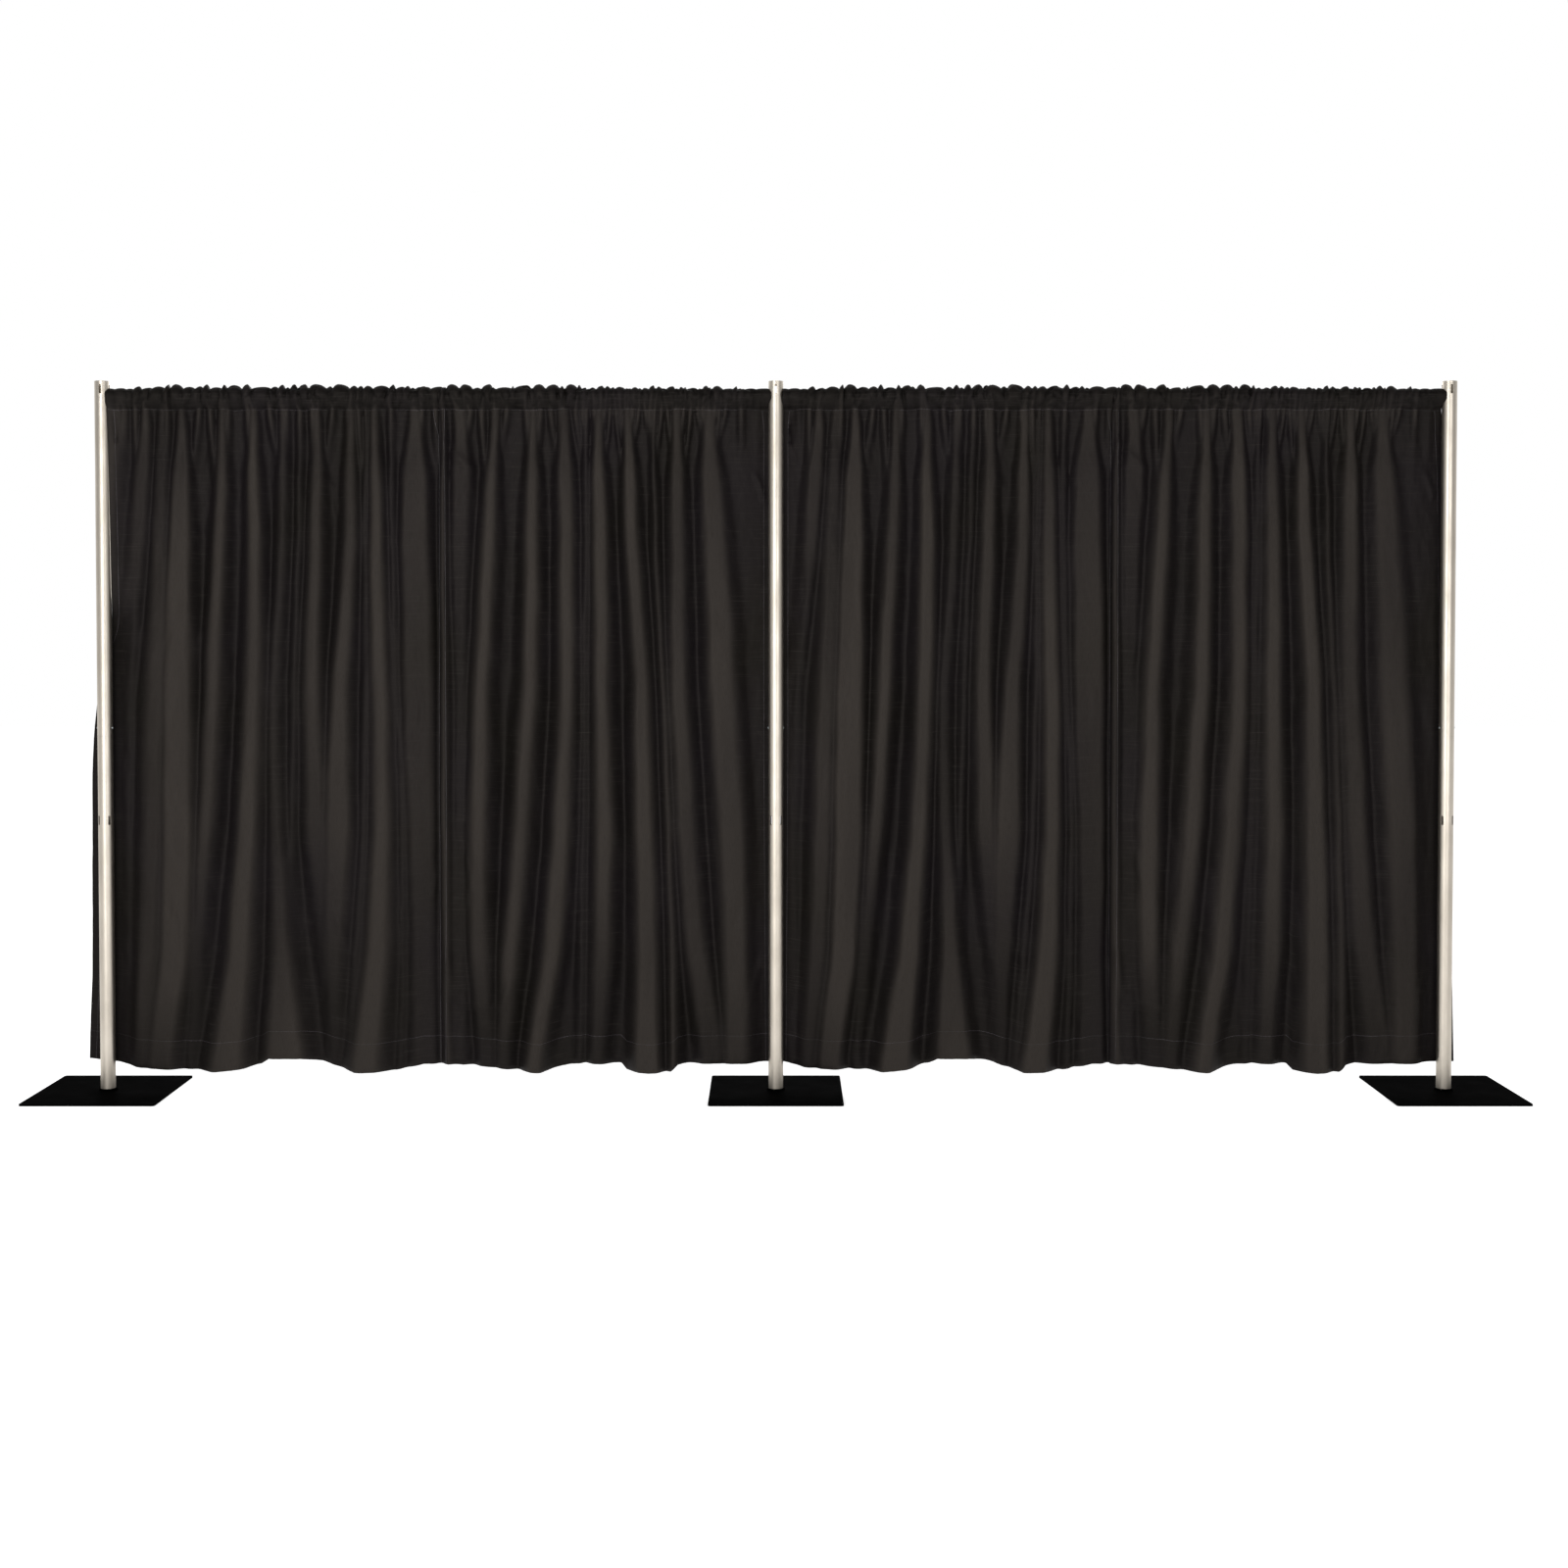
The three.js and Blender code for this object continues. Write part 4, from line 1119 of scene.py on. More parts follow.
@dataclass
class DrapePanel:
    """A gathered cloth panel with a rod pocket, side hems and a bottom hem.

    Its surface is worked out row by row: fold crests and gathering pleats are tents of one slope,
    whose upper hull is the cloth's front, and the slope is solved so that every row has the length
    of the flat cloth. Pleats that sink under the main folds on the way down leave the fans that
    gathered cloth shows under the pocket.
    """

    side: Side
    half: Half
    seed: int
    span: PanelSpan
    flat_width: float = 1372.0
    axis_z: float = 2404.0
    stitch_z: float = 2354.0
    hem_z: float = 62.0
    row_steps: tuple[tuple[int, float], ...] = ((18, 9.0), (26, 12.0), (200, 24.0))
    least_step: float = 6.0
    hem_rows: int = 7
    columns: int = 288
    turned_columns: tuple[int, ...] = (0, 2, 4)
    samples: int = 1100
    halvings: int = 14
    hem_turn: float = 100.0
    side_turn: float = 25.0
    pocket_turn: float = 150.0
    pocket_allowance: float = 9.0
    layer: float = 1.0
    edge_tip: float = 0.4
    thickness: float = 0.42
    pole_nearest: float = 18.0
    bar_clearance: float = 19.6
    stitch: tuple[float, float, float] = (2.9, 0.5, 0.9)
    stitch_pitch: float = 4.2
    stitch_lift: float = 0.45
    stitch_inset: float = 3.0

    def __post_init__(self) -> None:
        """Lays out the rows, the pleats and the random ripples of the panel."""
        random = np.random.default_rng(self.seed)
        hem_top = self.hem_z + self.hem_turn
        heights = [self.stitch_z]
        for step in [step for count, step in self.row_steps for _ in range(count)]:
            if heights[-1] - step <= hem_top + self.least_step:
                break
            heights.append(heights[-1] - step)
        self.heights = np.array(heights + list(np.linspace(hem_top, self.hem_z, self.hem_rows)))
        self.pleats = self.lay_pleats()
        self.ruffles = self.lay_ruffles()
        turn = 2 * np.pi
        self.waves = [
            (random.uniform(0.6, 1.0) * size, turn / random.uniform(wide, 2 * wide),
             turn / random.uniform(tall, 2 * tall), random.uniform(0, 6.28))
            for size, wide, tall in RIPPLES
            for _ in range(3)
        ]

    def lay_pleats(self) -> list[Pleat]:
        """Places the gathering pleats along the pocket.

        Returns:
            The pleats, from left to right, the same for every panel.
        """
        shared = np.random.default_rng(PLEAT_SEED)
        mains = np.array([fold.places[0] for fold in FOLDS])
        pleats, x = [], -20.0
        while x < LANDINGS[2] + 20:
            gathers = gathers_at(x)
            x += shared.uniform(*gathers.spacing)
            by_upright = min(x, LANDINGS[2] - x) < 120
            goal = x if by_upright else mains[np.argmin(np.abs(mains - x))]
            pleats.append(Pleat(x, goal, shared.uniform(*gathers.reach), gathers.roundness))
        return pleats

    def lay_ruffles(self) -> list[Ruffle]:
        """Places the ruffles of the pocket side by side.

        Returns:
            The ruffles, from left to right, the same for every panel.
        """
        shared = np.random.default_rng(RUFFLE_SEED)
        ruffles, x = [], -30.0
        while x < LANDINGS[2] + 60:
            wide = shared.uniform(*gathers_at(x).width)
            height = min(wide * shared.uniform(0.2, 0.75), 17.0)
            lean = shared.uniform(-0.8, 0.8) * wide
            ruffles.append(Ruffle(x, lean, height, shared.uniform(0.25, 0.75)))
            x += wide
        return ruffles

    def crests(self, z: float) -> list[np.ndarray]:
        """Works out all crests at one height.

        Args:
            z: The height.

        Returns:
            Their places, heights, flat half widths and roundnesses.
        """
        levels = FOLD_HEIGHTS[::-1]
        depth = np.interp(z, *FOLD_DEPTH)
        top = np.interp(z, *CREST_WIDTH)
        rows = []
        for i, fold in enumerate(FOLDS):
            x = np.interp(z, levels, fold.places[::-1])
            x += sum(size * math.sin(z / height + step * i) for size, height, step in SWAYS)
            rise = np.interp(z, levels, fold.rises[::-1])
            flat = np.interp(z, levels, fold.flats[::-1])
            rows.append((x, (rise - 1) * depth, flat * top, fold.roundness * (0.35 + 0.65 * top)))
        for pleat in self.pleats:
            share = (self.stitch_z - z) / pleat.reach
            if share > PLEAT_END:
                continue
            lean = PLEAT_LEAN * min(share, 1.0) ** 1.3
            sink = depth * PLEAT_TOP + PLEAT_SINK * depth * share**1.2
            pull = PULL * math.tanh((pleat.goal - pleat.x) / PULL)
            rows.append((pleat.x + pull * lean, -sink, 0.0, pleat.roundness * (1 + 2.5 * share)))
        return [np.array(column) for column in zip(*rows)]

    def edges(self, z: float) -> tuple[float, float]:
        """Works out how far the panel reaches to both sides.

        Args:
            z: The height.

        Returns:
            The places of its two edges.
        """
        span, share = self.span, np.interp(z, *FLARE)
        far_left = self.side is Side.LEFT and span.by_left_upright
        start_share = np.interp(z, *FAR_LEFT_FLARE) if far_left else share
        start = span.start - span.behind_start * start_share
        end = span.end + span.behind_end * share
        if span.tucked:
            end += TUCK_LAP * np.interp(z, *TUCK)
        if span.by_left_upright:
            start = min(start, self.beside(self.behind(z)[0]))
        if span.by_right_upright:
            end = max(end, LANDINGS[2] - self.beside(self.behind(z)[1]))
        return start, end

    def behind(self, z: float) -> tuple[float, float]:
        """Works out how far behind the uprights' axes the cloth hangs.

        At the outer upright of the left bay the cloth comes round the front in its upper part.

        Args:
            z: The height.

        Returns:
            The depth at the bay's left upright and at its right one.
        """
        usual = np.interp(z, *BEHIND)
        far_left = np.interp(z, *FAR_LEFT_BEHIND)
        return (far_left if self.side is Side.LEFT else usual), usual

    def beside(self, y: np.ndarray | float) -> np.ndarray | float:
        """Returns how near to an upright's axis, along X, the cloth may come at a depth."""
        return np.sqrt(np.maximum(POLE_CLEARANCE**2 - np.square(y), self.pole_nearest**2))

    def hug(self, x: np.ndarray, y: np.ndarray) -> np.ndarray:
        """Draws the ends of one row of the pocket up to the round of the uprights.

        Args:
            x: The row's places.
            y: Its depths.

        Returns:
            The places, moved near the uprights only.
        """
        moved = x.copy()
        if self.span.by_left_upright:
            share = np.clip(1 - (x - x[0]) / HUG_REACH, 0, 1) ** 2
            moved += (max(self.beside(y[0]), self.span.clear) - x[0]) * share
        if self.span.by_right_upright:
            share = np.clip(1 - (x[-1] - x) / HUG_REACH, 0, 1) ** 2
            moved += (LANDINGS[2] - self.beside(y[-1]) - x[-1]) * share
        return moved

    def front(
        self, x: np.ndarray, z: float, slope: float, crests: Sequence[np.ndarray]
    ) -> np.ndarray:
        """Works out how far back the cloth lies along one row.

        Args:
            x: Places along the row.
            z: The row's height.
            slope: The slope of the folds' sides.
            crests: What crests() gives.

        Returns:
            The cloth's depths.
        """
        places, tops, flats, rounds = (part[:, None] for part in crests)
        away = np.maximum(np.abs(x[None, :] - places) - flats, 0.0)
        tents = tops - slope * (np.sqrt(away**2 + rounds**2) - rounds)
        soft, depth = np.interp(z, *CREST_SOFTNESS), np.interp(z, *FOLD_DEPTH)
        peak = tents.max(axis=0)
        hull = peak + soft * np.log(np.exp((tents - peak) / soft).sum(axis=0))
        valley, soft = -VALLEY * depth, 1.6 * soft
        hull = valley + soft * np.logaddexp((hull - valley) / soft, 0.0)
        free = -(hull + 0.5 * depth) - np.interp(z, *PUSH_FORWARD)
        beyond = np.minimum(np.abs(x - LANDINGS[0]), np.abs(x - LANDINGS[2])) - POLE
        settled = smooth(1 - beyond / SETTLE_REACH)
        depths = free * (1 - settled) + np.where(x < LANDINGS[1], *self.behind(z)) * settled
        if self.span.tucked:
            beside_seam = smooth((x - LANDINGS[1] + TUCK_REACH) / TUCK_REACH)
            depths += TUCK_DEPTH * beside_seam * np.interp(z, *TUCK)
        return depths

    def relief(self, x: np.ndarray, z: np.ndarray) -> np.ndarray:
        """Works out the small ripples, puckers and creases that ride on the folds.

        Args:
            x: Places.
            z: Heights.

        Returns:
            How far the cloth stands out there.
        """
        out = np.zeros_like(x)
        for size, across, down, phase in self.waves:
            bent = x * across + phase + 1.3 * np.sin(z * down * 0.7)
            out += size * np.sin(bent) * np.sin(z * down + 2 * phase)
        nearest = np.min([np.abs(x - landing) for landing in LANDINGS], axis=0)
        out *= np.clip((nearest - 10) / 45, 0.1, 1)
        for crease in CREASES:
            legs = zip(crease.path, crease.path[1:])
            shares = [along_line(x, z, *leg, crease.width) for leg in legs]
            out += crease.rise * np.max(shares, axis=0)
        pucker = np.sin(z / 4.1 + 2.2 * np.sin(z / 37)) * (0.7 + 0.5 * np.sin(z / 61))
        near_seam = np.exp(-((np.abs(x - LANDINGS[1]) / SEAM_REACH) ** 2))
        return out + SEAM_PUCKER * near_seam * pucker

    def row(self, z: float) -> np.ndarray:
        """Works out one row of the cloth.

        Args:
            z: The row's height.

        Returns:
            The place and depth of each column, at equal steps of the flat cloth.
        """
        x = np.linspace(*self.edges(z), self.samples)
        crests = self.crests(z)
        low, high = 0.05, 2.6
        for _ in range(self.halvings):
            slope = (low + high) / 2
            y = self.front(x, z, slope, crests)
            steps = np.hypot(np.diff(x), np.diff(y))
            low, high = (slope, high) if steps.sum() < self.flat_width else (low, slope)
        along = np.concatenate([[0.0], np.cumsum(steps)])
        columns = np.interp(np.linspace(0, 1, self.columns + 1) * along[-1], along, x)
        return np.array([columns, np.interp(columns, x, y)])

    def surface(self) -> tuple[np.ndarray, np.ndarray]:
        """Works out the cloth's front face, from the stitch line to the hem.

        Returns:
            Points as an array of rows by columns by three, and the painted highlight of each, which
            grows as it lies forward on a crest.
        """
        x, y = np.array([self.row(z) for z in self.heights]).transpose(1, 0, 2)
        for part in (x, y, x, y):
            part[1:-1] = (part[:-2] + 2 * part[1:-1] + part[2:]) / 4
        levels = self.heights[:, None]
        z = np.repeat(levels, x.shape[1], axis=1)
        # painted highlight: the cloth's colour is lightened where it stands forward on a fold's
        # crest, unevenly along the fold, and more strongly low down than at the top
        crest = np.clip(0.5 - y / np.interp(levels, *FOLD_DEPTH), 0, 1) ** CREST_HIGHLIGHT_SHARPNESS
        crest *= 1 + 0.3 * np.sin(z / 270 + x / 90 + self.seed) * np.sin(z / 610 - x / 47)
        crest *= np.interp(levels, *CREST_HIGHLIGHT_BY_HEIGHT)
        y = y - self.relief(x, z) * np.interp(z, *RELIEF)
        hem = np.interp(x, *np.array(HEM_LINE, float).T)
        share = (self.stitch_z - z) / (self.stitch_z - self.hem_z)
        z = z + (hem - self.hem_z) * share**2
        wave = 1.7 * np.sin(x / 33 + self.seed) + 1.1 * np.sin(x / 12.5)
        z = z + wave * np.interp(levels, *STITCH_WAVE)
        return np.stack([x, y, z], axis=-1), crest

    def ruffled(self, x: np.ndarray, up: float) -> tuple[np.ndarray, np.ndarray]:
        """Works out how the ruffles stand out at one height of the pocket.

        Args:
            x: Places.
            up: The way up from the stitch line to the top of the bar, from 0 to 1.

        Returns:
            How far the cloth stands out there, and how far it is from the nearest crease, as a
            share of the way to the puff's thickest place.
        """
        creases = np.sort([ruffle.x + ruffle.lean * up for ruffle in self.ruffles])
        tall = np.array([ruffle.height for ruffle in self.ruffles])
        tall *= np.interp(up, *RUFFLE_HEIGHT)
        peak = np.array([ruffle.peak for ruffle in self.ruffles])
        nearby = []
        for step in (-2.0, 0.0, 2.0):
            left = np.clip(np.searchsorted(creases, x + step) - 1, 0, len(creases) - 2)
            share = (x + step - creases[left]) / (creases[left + 1] - creases[left])
            rise = np.minimum(share / peak[left], (1 - share) / (1 - peak[left]))
            swell = tall[left] * np.sqrt(np.clip(1 - (1 - rise) ** 2, 0, 1))
            nearby.append([swell, np.clip(rise, 0, 1)])
        out, rise = np.min(nearby, axis=0)
        for upright in (LANDINGS[0], LANDINGS[2]):
            free = smooth((np.abs(x - upright) - 20.0) / 200.0)
            out *= RUFFLE_LEAST + (1 - RUFFLE_LEAST) * free
        return out, rise

    def wrinkles(self, x: np.ndarray, up: float) -> np.ndarray:
        """Works out the short slanting wrinkles of the pocket.

        Args:
            x: Places.
            up: The way up from the stitch line to the top of the bar, from 0 to 1.

        Returns:
            How far the cloth sinks in there.
        """
        random, kind = np.random.default_rng(WRINKLE_SEED + self.seed), Wrinkles()
        start, end = self.span.start, self.span.end
        out = np.zeros_like(x)
        for _ in range(kind.number):
            spot = np.array([random.uniform(start, end), random.uniform(*kind.start)])
            way = np.array([random.uniform(*kind.run), random.uniform(*kind.rise)])
            depth, width = random.uniform(*kind.depth), random.uniform(*kind.width)
            out += depth * along_line(x, POCKET_FRONT * up, spot, spot + way, width)
        return out * np.clip(np.minimum(x - start, end - x) / kind.fade, 0, 1)

    def pocket_row(
        self, top: np.ndarray, crest: np.ndarray, turn: float, rise: float
    ) -> tuple[np.ndarray, np.ndarray]:
        """Works out one row of the rod pocket.

        Args:
            top: The points of the stitch line.
            crest: How much painted highlight each of them has, for lying on a crest.
            turn: The row's turn about the bar from the front, in radians.
            rise: How far up the row is from the stitch line to the bar's axis, from 0 to 1.

        Returns:
            The row's points, and the painted light and shade of each: above 0 where a fold runs on
            into the pocket, and down to -1 in creases and wrinkles.
        """
        x, y, z = top.T
        in_front = turn < PAST_TOP
        level = abs(math.cos(turn))
        up = FRONT_SHARE * rise if rise < 1 else 1.0 - (1 - FRONT_SHARE) * level
        swell, apart = self.ruffled(x, up)
        sunk = self.wrinkles(x, up) if in_front else np.zeros_like(x)
        edge = np.minimum(x - x.min(), x.max() - x)
        radius = self.bar_clearance + 1.2 * (np.exp(-((edge / 30) ** 2)) + level)
        reach = np.maximum(radius + swell - sunk, self.bar_clearance)
        share = math.sin(QUARTER_TURN * rise) ** 0.7
        stitched = 0.8 * (y if in_front else y + 1.1)
        depth = -share * reach * math.cos(turn) + (1 - share) * stitched
        low = (1 - rise) * (self.axis_z - self.stitch_z)
        height = self.axis_z + reach * math.sin(turn) - low + (1 - share) * (z - self.stitch_z)
        # painted shade darkens the pocket's creases and wrinkles, and painted light lifts its puffs
        # and the fold crests that run on into it
        painted_shade = 0.15 + 0.7 * (1 - apart) ** 4 + 0.8 * np.clip(sunk / 5, 0, 1)
        tone = 0.15 * np.clip(swell / 12, 0, 1) + 0.9 * (1 - up) * crest - painted_shade
        return np.stack([self.hug(x, depth), depth, height], -1), tone

    def pocket(
        self, top: np.ndarray, crest: np.ndarray
    ) -> tuple[np.ndarray, np.ndarray, np.ndarray]:
        """Works out the rod pocket above the stitch line.

        Args:
            top: The points of the stitch line.
            crest: How much painted highlight each of them has, for lying on a crest.

        Returns:
            The pocket's rows from its cut edge behind the cloth, over the bar, to just above the
            stitch line in front, their lengths up from that line, and the painted light and shade
            of each point.
        """
        turns = [(0.0, rise) for rise in np.arange(1, 7) / 7]
        over = (*np.linspace(0, 90, 9), 112.5, 135.0, 157.5, 180.0)
        turns += [(math.radians(angle), 1.0) for angle in over]
        turns += [(math.pi, rise) for rise in (0.66, 0.33)]
        rows, tones = map(list, zip(*(self.pocket_row(top, crest, *turn) for turn in turns)))
        seam = top + backwards(top[None])[0] * self.layer
        rows += [seam, seam - np.array([0.0, 0.0, self.pocket_allowance])]
        tones += [tones[0], tones[0]]
        rows = np.array(rows)[::-1]
        steps = np.linalg.norm(np.diff(np.concatenate([rows, top[None]]), axis=0), axis=-1)
        return rows, -np.cumsum(steps.mean(axis=1)[::-1])[::-1], np.array(tones)[::-1]

    def bottom_hem(self, face: np.ndarray) -> np.ndarray:
        """Works out the hem that is turned up behind the cloth.

        Args:
            face: The cloth's front face, whose last seven rows are the hem's height.

        Returns:
            The turned-up rows, from the hem's bottom to its cut edge.
        """
        back = backwards(face)
        edge = np.minimum(face[..., 0] - face[:, :1, 0], face[:, -1:, 0] - face[..., 0])
        gap = (self.layer + HEM_PARTING * np.exp(-((edge / HEM_REACH) ** 4)))[..., None]
        low = face[-1] + back[-1] * gap[-1] / 2 - np.array([0.0, 0.0, self.layer / 2])
        return np.concatenate([low[None], (face + back * gap)[-self.hem_rows :][::-1]])

    def side_hems(self, points: np.ndarray) -> np.ndarray:
        """Adds the two side hems, turned to the back.

        Args:
            points: The cloth's rows.

        Returns:
            The rows with a tip and the turned columns added at each edge.
        """
        layer = backwards(points) * self.layer
        sides = []
        for at, step in ((0, 1), (-1, -1)):
            out = points[:, at] - points[:, at + step]
            tip = self.edge_tip * out / np.linalg.norm(out, axis=-1, keepdims=True)
            turned = [points[:, at] + tip + layer[:, at] / 2]
            turned += [(points + layer)[:, at + step * column] for column in self.turned_columns]
            sides.append(turned)
        first, last = np.stack(sides[0][::-1], axis=1), np.stack(sides[1], axis=1)
        return np.concatenate([first, points, last], axis=1)

    def in_bay(self, points: np.ndarray) -> np.ndarray:
        """Returns points of the bay in metres, where the bay is."""
        return points * MM - np.array([BAY if self.side is Side.LEFT else 0.0, 0.0, 0.0])

    def weave(self, points: np.ndarray, down: np.ndarray, crest: np.ndarray) -> bpy.types.Object:
        """Turns the worked-out rows into the cloth: a grid whose vertices are moved, and thickened.

        Args:
            points: Rows by columns of points.
            down: The length down the cloth of each row.
            crest: The painted light and shade of each point: highlight on crests, shade in gathers.

        Returns:
            The cloth.
        """
        rows, columns = points.shape[:2]
        cloth = add(
            f"{self.side.value}_cloth_{self.half.value}", bpy.ops.mesh.primitive_grid_add,
            x_subdivisions=columns - 1, y_subdivisions=rows - 1, size=1.0, calc_uvs=True,
        )
        mesh = cloth.data
        start = np.empty(len(mesh.vertices) * 3)
        mesh.vertices.foreach_get("co", start)
        column, row = np.rint(
            (start.reshape(-1, 3)[:, :2] + 0.5) * (columns - 1, rows - 1)
        ).astype(int).T
        row = rows - 1 - row
        mesh.vertices.foreach_set("co", self.in_bay(points[row, column]).ravel())

        added = 1 + len(self.turned_columns)
        corner = np.empty(len(mesh.loops), int)
        mesh.loops.foreach_get("vertex_index", corner)
        flat = np.stack([(column - added) * self.flat_width / self.columns, -down[row]], -1) * MM
        mesh.uv_layers[0].name = "UVMap"
        mesh.uv_layers[0].data.foreach_set("uv", flat[corner].ravel())
        # the crest attribute carries the painted light and shade that the cloth's colour reads
        attribute = mesh.attributes.new("crest", "FLOAT", "POINT")
        attribute.data.foreach_set("value", crest[row, column].astype(np.float32))
        mesh.update()
        modify(cloth, "SOLIDIFY", thickness=self.thickness * MM, offset=0.0)
        take(cloth)
        bpy.ops.object.shade_smooth_by_angle(angle=math.radians(60))
        return cloth

    def sew(self, lines: Sequence[np.ndarray]) -> bpy.types.Object:
        """Sews lines of stitches: one stitch is modelled and set along each line.

        Args:
            lines: Each line's points, already just in front of the cloth.

        Returns:
            The stitches, as one piece.
        """
        size = Vector(self.stitch) * MM
        sample = add_block("stitch", -size / 2, size / 2)
        corners = np.array([v.co for v in sample.data.vertices]) / MM
        sides = np.array([list(p.vertices) for p in sample.data.polygons])
        bpy.data.objects.remove(sample, do_unlink=True)
        spots, ways = [], []
        for line in lines:
            along = np.concatenate([[0], np.cumsum(np.linalg.norm(np.diff(line, axis=0), axis=-1))])
            at = np.arange(2.0, along[-1] - 2.0, self.stitch_pitch)
            before, spot, after = (
                np.stack([np.interp(at + step, along, part) for part in line.T], -1)
                for step in (-1, 0, 1)
            )
            spots.append(spot)
            ways.append(after - before)
        spot, along = np.concatenate(spots), np.concatenate(ways)
        along /= np.linalg.norm(along, axis=-1, keepdims=True)
        out = np.cross(along, np.where(np.abs(along[:, 2:]) > 0.7, [[1.0, 0, 0]], [[0, 0, 1.0]]))
        out /= np.linalg.norm(out, axis=-1, keepdims=True)
        axes = np.stack([along, out, np.cross(out, along)], axis=1)
        points = self.in_bay((spot[:, None] + corners @ axes).reshape(-1, 3))
        faces = (np.arange(len(spot))[:, None, None] * len(corners) + sides[None]).reshape(-1, 4)
        mesh = bpy.data.meshes.new("stitches")
        mesh.from_pydata(points.tolist(), [], faces.tolist())
        name = f"{self.side.value}_cloth_{self.half.value}_stitching"
        piece = bpy.data.objects.new(name, mesh)
        bpy.context.scene.collection.objects.link(piece)
        face_outward(piece)
        return piece

    def build(self) -> None:
        """Builds, dresses and places the panel and its stitching."""
        face, crest = self.surface()
        down = self.stitch_z - self.heights
        pocket, up, tone = self.pocket(face[0], crest[0])
        hem = self.bottom_hem(face)
        hem_down = down[-1] + np.concatenate(
            [[self.layer], np.linspace(2 * self.layer, self.hem_turn, self.hem_rows)]
        )
        # painted light and shade of the pocket, the face and the hem, which repeats the face's last
        # row
        tones = np.concatenate([tone, crest, np.repeat(crest[-1:], len(hem), 0)])
        added = 1 + len(self.turned_columns)
        cloth = self.weave(
            self.side_hems(np.concatenate([pocket, face, hem])),
            np.concatenate([up, down, hem_down]),
            np.pad(tones, ((0, 0), (added, added)), mode="edge"),
        )
        front = face - backwards(face) * self.stitch_lift
        across = round((self.side_turn - self.stitch_inset) / (self.flat_width / self.columns))
        thread = self.sew(
            [front[0], front[-self.hem_rows], front[:, across], front[:, -1 - across]]
        )
        side = self.side.value
        for piece, finish in ((cloth, BLACK_SATIN_CLOTH), (thread, SEWING_THREAD)):
            dress(piece, finish)
            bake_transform(piece)
        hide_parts(f"{side}_drape_{self.half.value}")
        LOG.info("%s has %d faces", cloth.name, len(cloth.data.polygons))


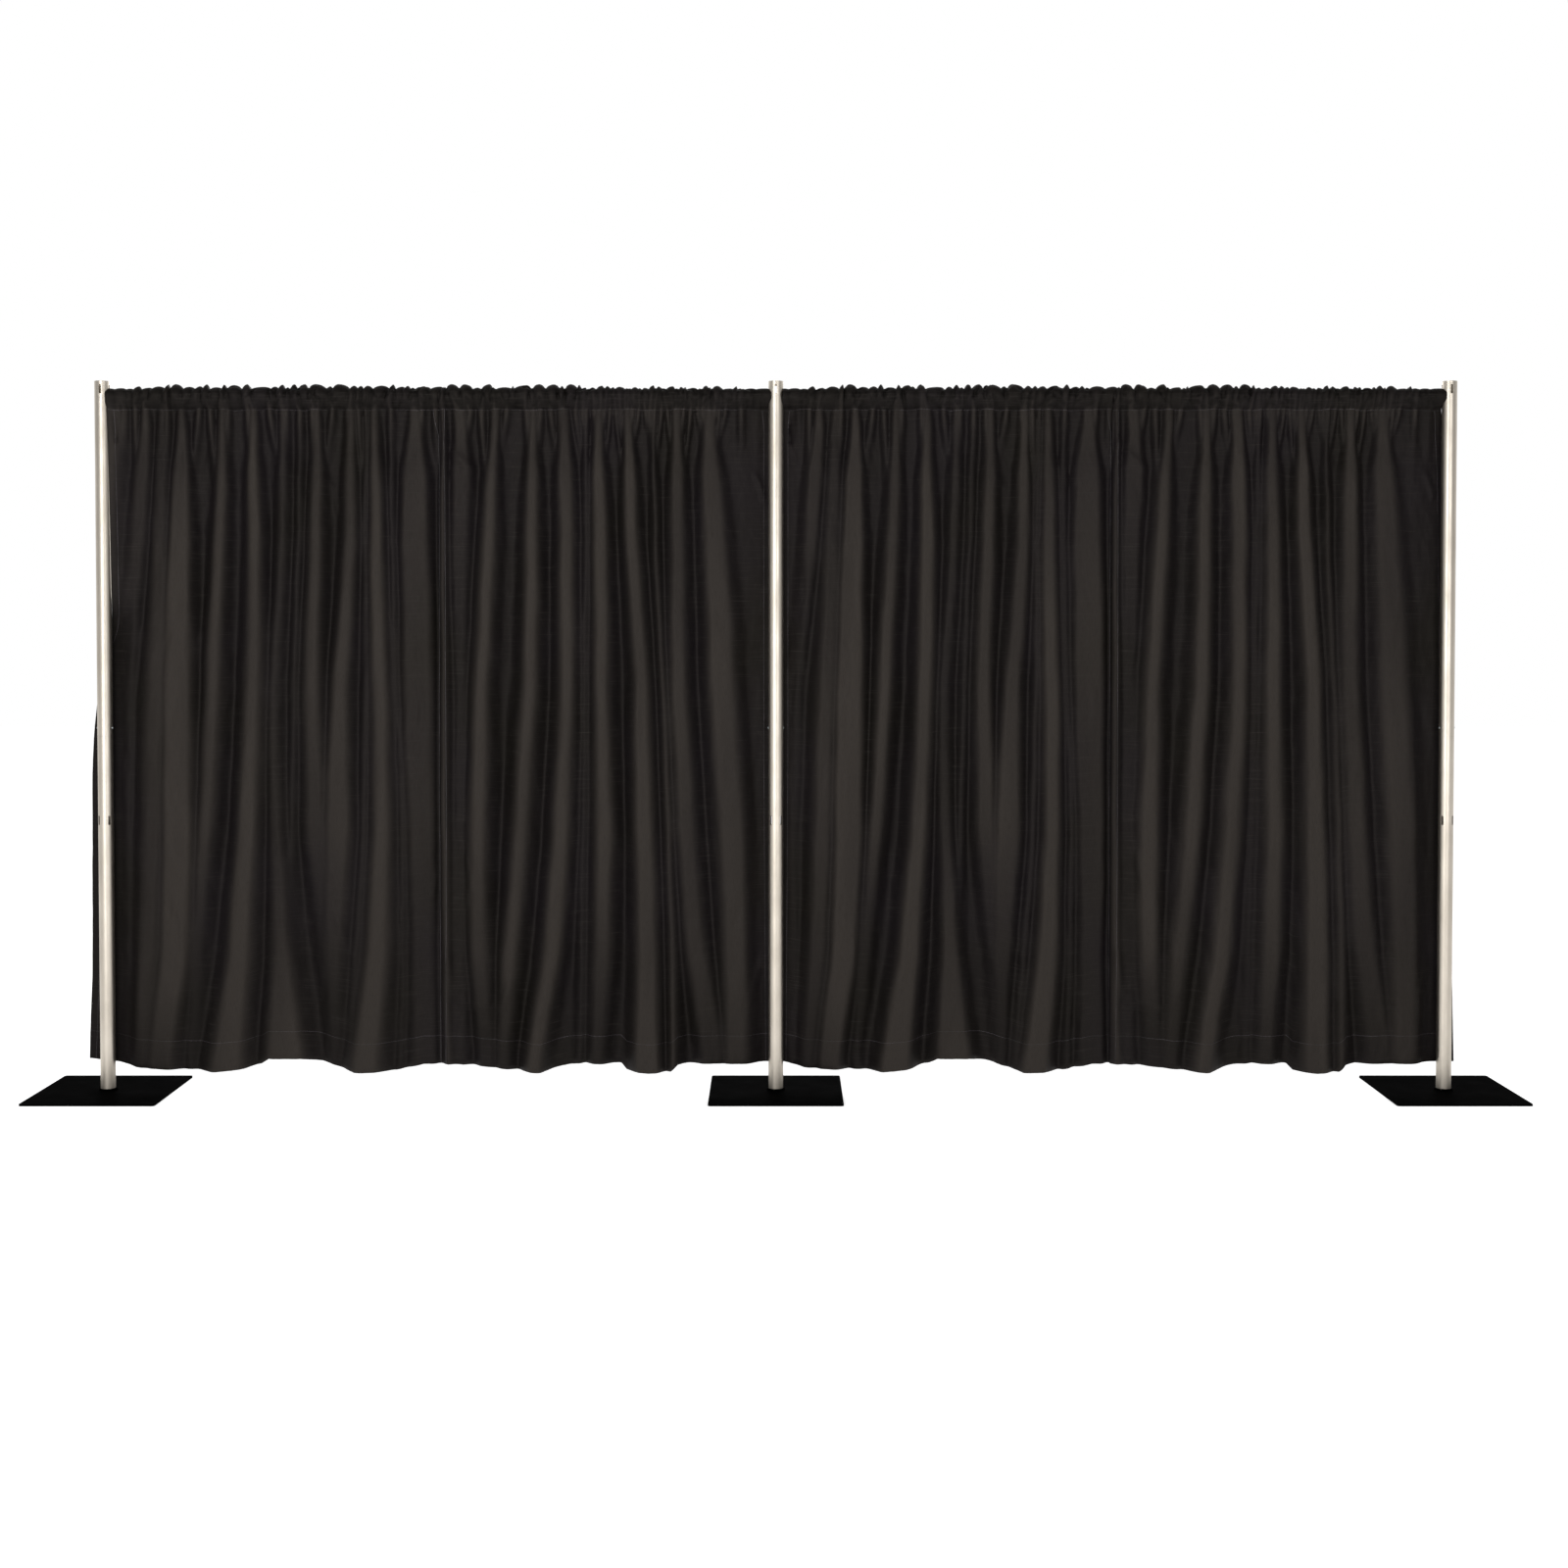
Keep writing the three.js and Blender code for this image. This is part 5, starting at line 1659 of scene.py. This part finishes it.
@dataclass
class Studio:
    """The floor, the lamps and the camera."""

    distance: float = 7.0
    height: float = 1.5575
    pitch: float = 1.55
    lens: float = 46.62
    sensor: float = 36.0
    shift: tuple[float, float] = (0.0052, -0.0556)
    floor_lift: float = 0.6
    room_glow: float = 0.55
    aim: tuple[float, float, float] = (0.0, 0.0, 1.2)

    def build(self) -> None:
        """Builds the floor, the lamps and the camera."""
        self.floor()
        self.world()
        self.lamp("key_softbox", (-2.4, -6.2, 2.15), (3.2, 3.4), 190.0)
        self.lamp("fill_softbox", (3.0, -5.6, 1.95), (2.8, 3.0), 80.0)
        self.lamp("back_softbox", (0.0, 4.6, 3.8), (4.0, 2.0), 120.0)
        self.camera()
        bpy.context.scene.view_settings.view_transform = "Standard"

    def floor(self) -> None:
        """Adds the floor, which is white to the camera but keeps the object's shadow."""
        plane = bpy.ops.mesh.primitive_plane_add
        floor = add("studio_floor", plane, size=60.0, location=(0.0, 0.0, -0.0004))
        dress(floor, STUDIO_PAPER)
        tree = STUDIO_PAPER.material().node_tree
        path = add_node(tree, "ShaderNodeLightPath").outputs
        inputs = {0: path["Is Camera Ray"], 1: path["Is Glossy Ray"]}
        seen = add_node(tree, "ShaderNodeMath", inputs, operation="MAXIMUM").outputs[0]
        inputs = {0: seen, 1: self.floor_lift}
        lift = add_node(tree, "ShaderNodeMath", inputs, operation="MULTIPLY").outputs[0]
        feed(tree, tree.nodes["Principled BSDF"].inputs["Emission Strength"], lift)

    def world(self) -> None:
        """Lights the room softly, and shows white where a ray meets nothing."""
        world = bpy.data.worlds.new("white_room")
        bpy.context.scene.world = world
        world.use_nodes = True
        tree = world.node_tree
        tree.nodes.clear()
        path = add_node(tree, "ShaderNodeLightPath").outputs
        seen = straight = path["Is Camera Ray"]
        for name in ("Is Glossy Ray", "Is Transmission Ray"):
            inputs = {0: seen, 1: path[name]}
            seen = add_node(tree, "ShaderNodeMath", inputs, operation="MAXIMUM").outputs[0]
        # The background is white, and the room on the camera's side of the object is dimmer.
        way = add_node(tree, "ShaderNodeTexCoord").outputs["Generated"]
        depth = add_node(tree, "ShaderNodeSeparateXYZ", {0: way}).outputs["Y"]
        inputs = {"Value": depth, "From Min": -0.25, "From Max": 0.25, "To Min": 0.4, "To Max": 1.0}
        room = add_node(tree, "ShaderNodeMapRange", inputs).outputs["Result"]
        inputs = {0: room, 1: straight}
        level = add_node(tree, "ShaderNodeMath", inputs, operation="MAXIMUM").outputs[0]
        glow, white = (
            add_node(tree, "ShaderNodeBackground", {"Color": "#ffffff", "Strength": strength})
            for strength in (self.room_glow, level)
        )
        inputs = {0: seen, 1: glow.outputs[0], 2: white.outputs[0]}
        mixed = add_node(tree, "ShaderNodeMixShader", inputs)
        add_node(tree, "ShaderNodeOutputWorld", {"Surface": mixed.outputs[0]})

    def lamp(
        self, name: str, where: Sequence[float], size: tuple[float, float], power: float
    ) -> None:
        """Adds a softbox that faces the middle of the backdrop.

        Args:
            name: The lamp's name.
            where: Its place.
            size: Its width and height.
            power: Its power in watts.
        """
        data = bpy.data.lights.new(name, "AREA")
        data.shape = "RECTANGLE"
        data.size, data.size_y = size
        data.energy = power
        lamp = bpy.data.objects.new(name, data)
        lamp.location = where
        way = Vector(self.aim) - Vector(where)
        lamp.rotation_euler = way.to_track_quat("-Z", "Y").to_euler()
        bpy.context.scene.collection.objects.link(lamp)

    def camera(self) -> None:
        """Sets the camera where the photograph was taken from."""
        data = bpy.data.cameras.new("photo_camera")
        data.lens, data.sensor_width = self.lens, self.sensor
        data.shift_x, data.shift_y = self.shift
        camera = bpy.data.objects.new("photo_camera", data)
        camera.location = (0.0, -self.distance, self.height)
        camera.rotation_euler = (math.radians(90 - self.pitch), 0.0, 0.0)
        bpy.context.scene.collection.objects.link(camera)
        bpy.context.scene.camera = camera


def panels() -> list[DrapePanel]:
    """Lists the four drape panels.

    Returns:
        The panels, from left to right.
    """
    left, seam, right = LANDINGS
    start, end = left + POLE_CLEARANCE, right - POLE_CLEARANCE
    before, after = seam - HALF_SEAM, seam + HALF_SEAM
    spans = (
        (Side.LEFT, Half.OUTER, PanelSpan(start, before, behind_start=104, tucked=True)),
        (Side.LEFT, Half.INNER, PanelSpan(after, end, behind_end=16)),
        (Side.RIGHT, Half.INNER, PanelSpan(start, before, 16, tucked=True, clear=24.5)),
        (Side.RIGHT, Half.OUTER, PanelSpan(after, end, behind_end=74)),
    )
    return [DrapePanel(side, half, seed, span) for seed, (side, half, span) in enumerate(spans, 3)]


def main() -> None:
    """Builds the backdrop round its frame, in order from the floor up."""
    logging.basicConfig(level=logging.INFO, format="%(message)s")
    Studio().build()
    for side, x in ((Side.LEFT, -BAY), (Side.CENTRE, 0.0), (Side.RIGHT, BAY)):
        Base(side, x).build()
        Upright(side, x).build()
    for side in (Side.LEFT, Side.RIGHT):
        Crossbar(side).build()
    for panel in panels():
        panel.build()


if __name__ == "__main__":
    main()
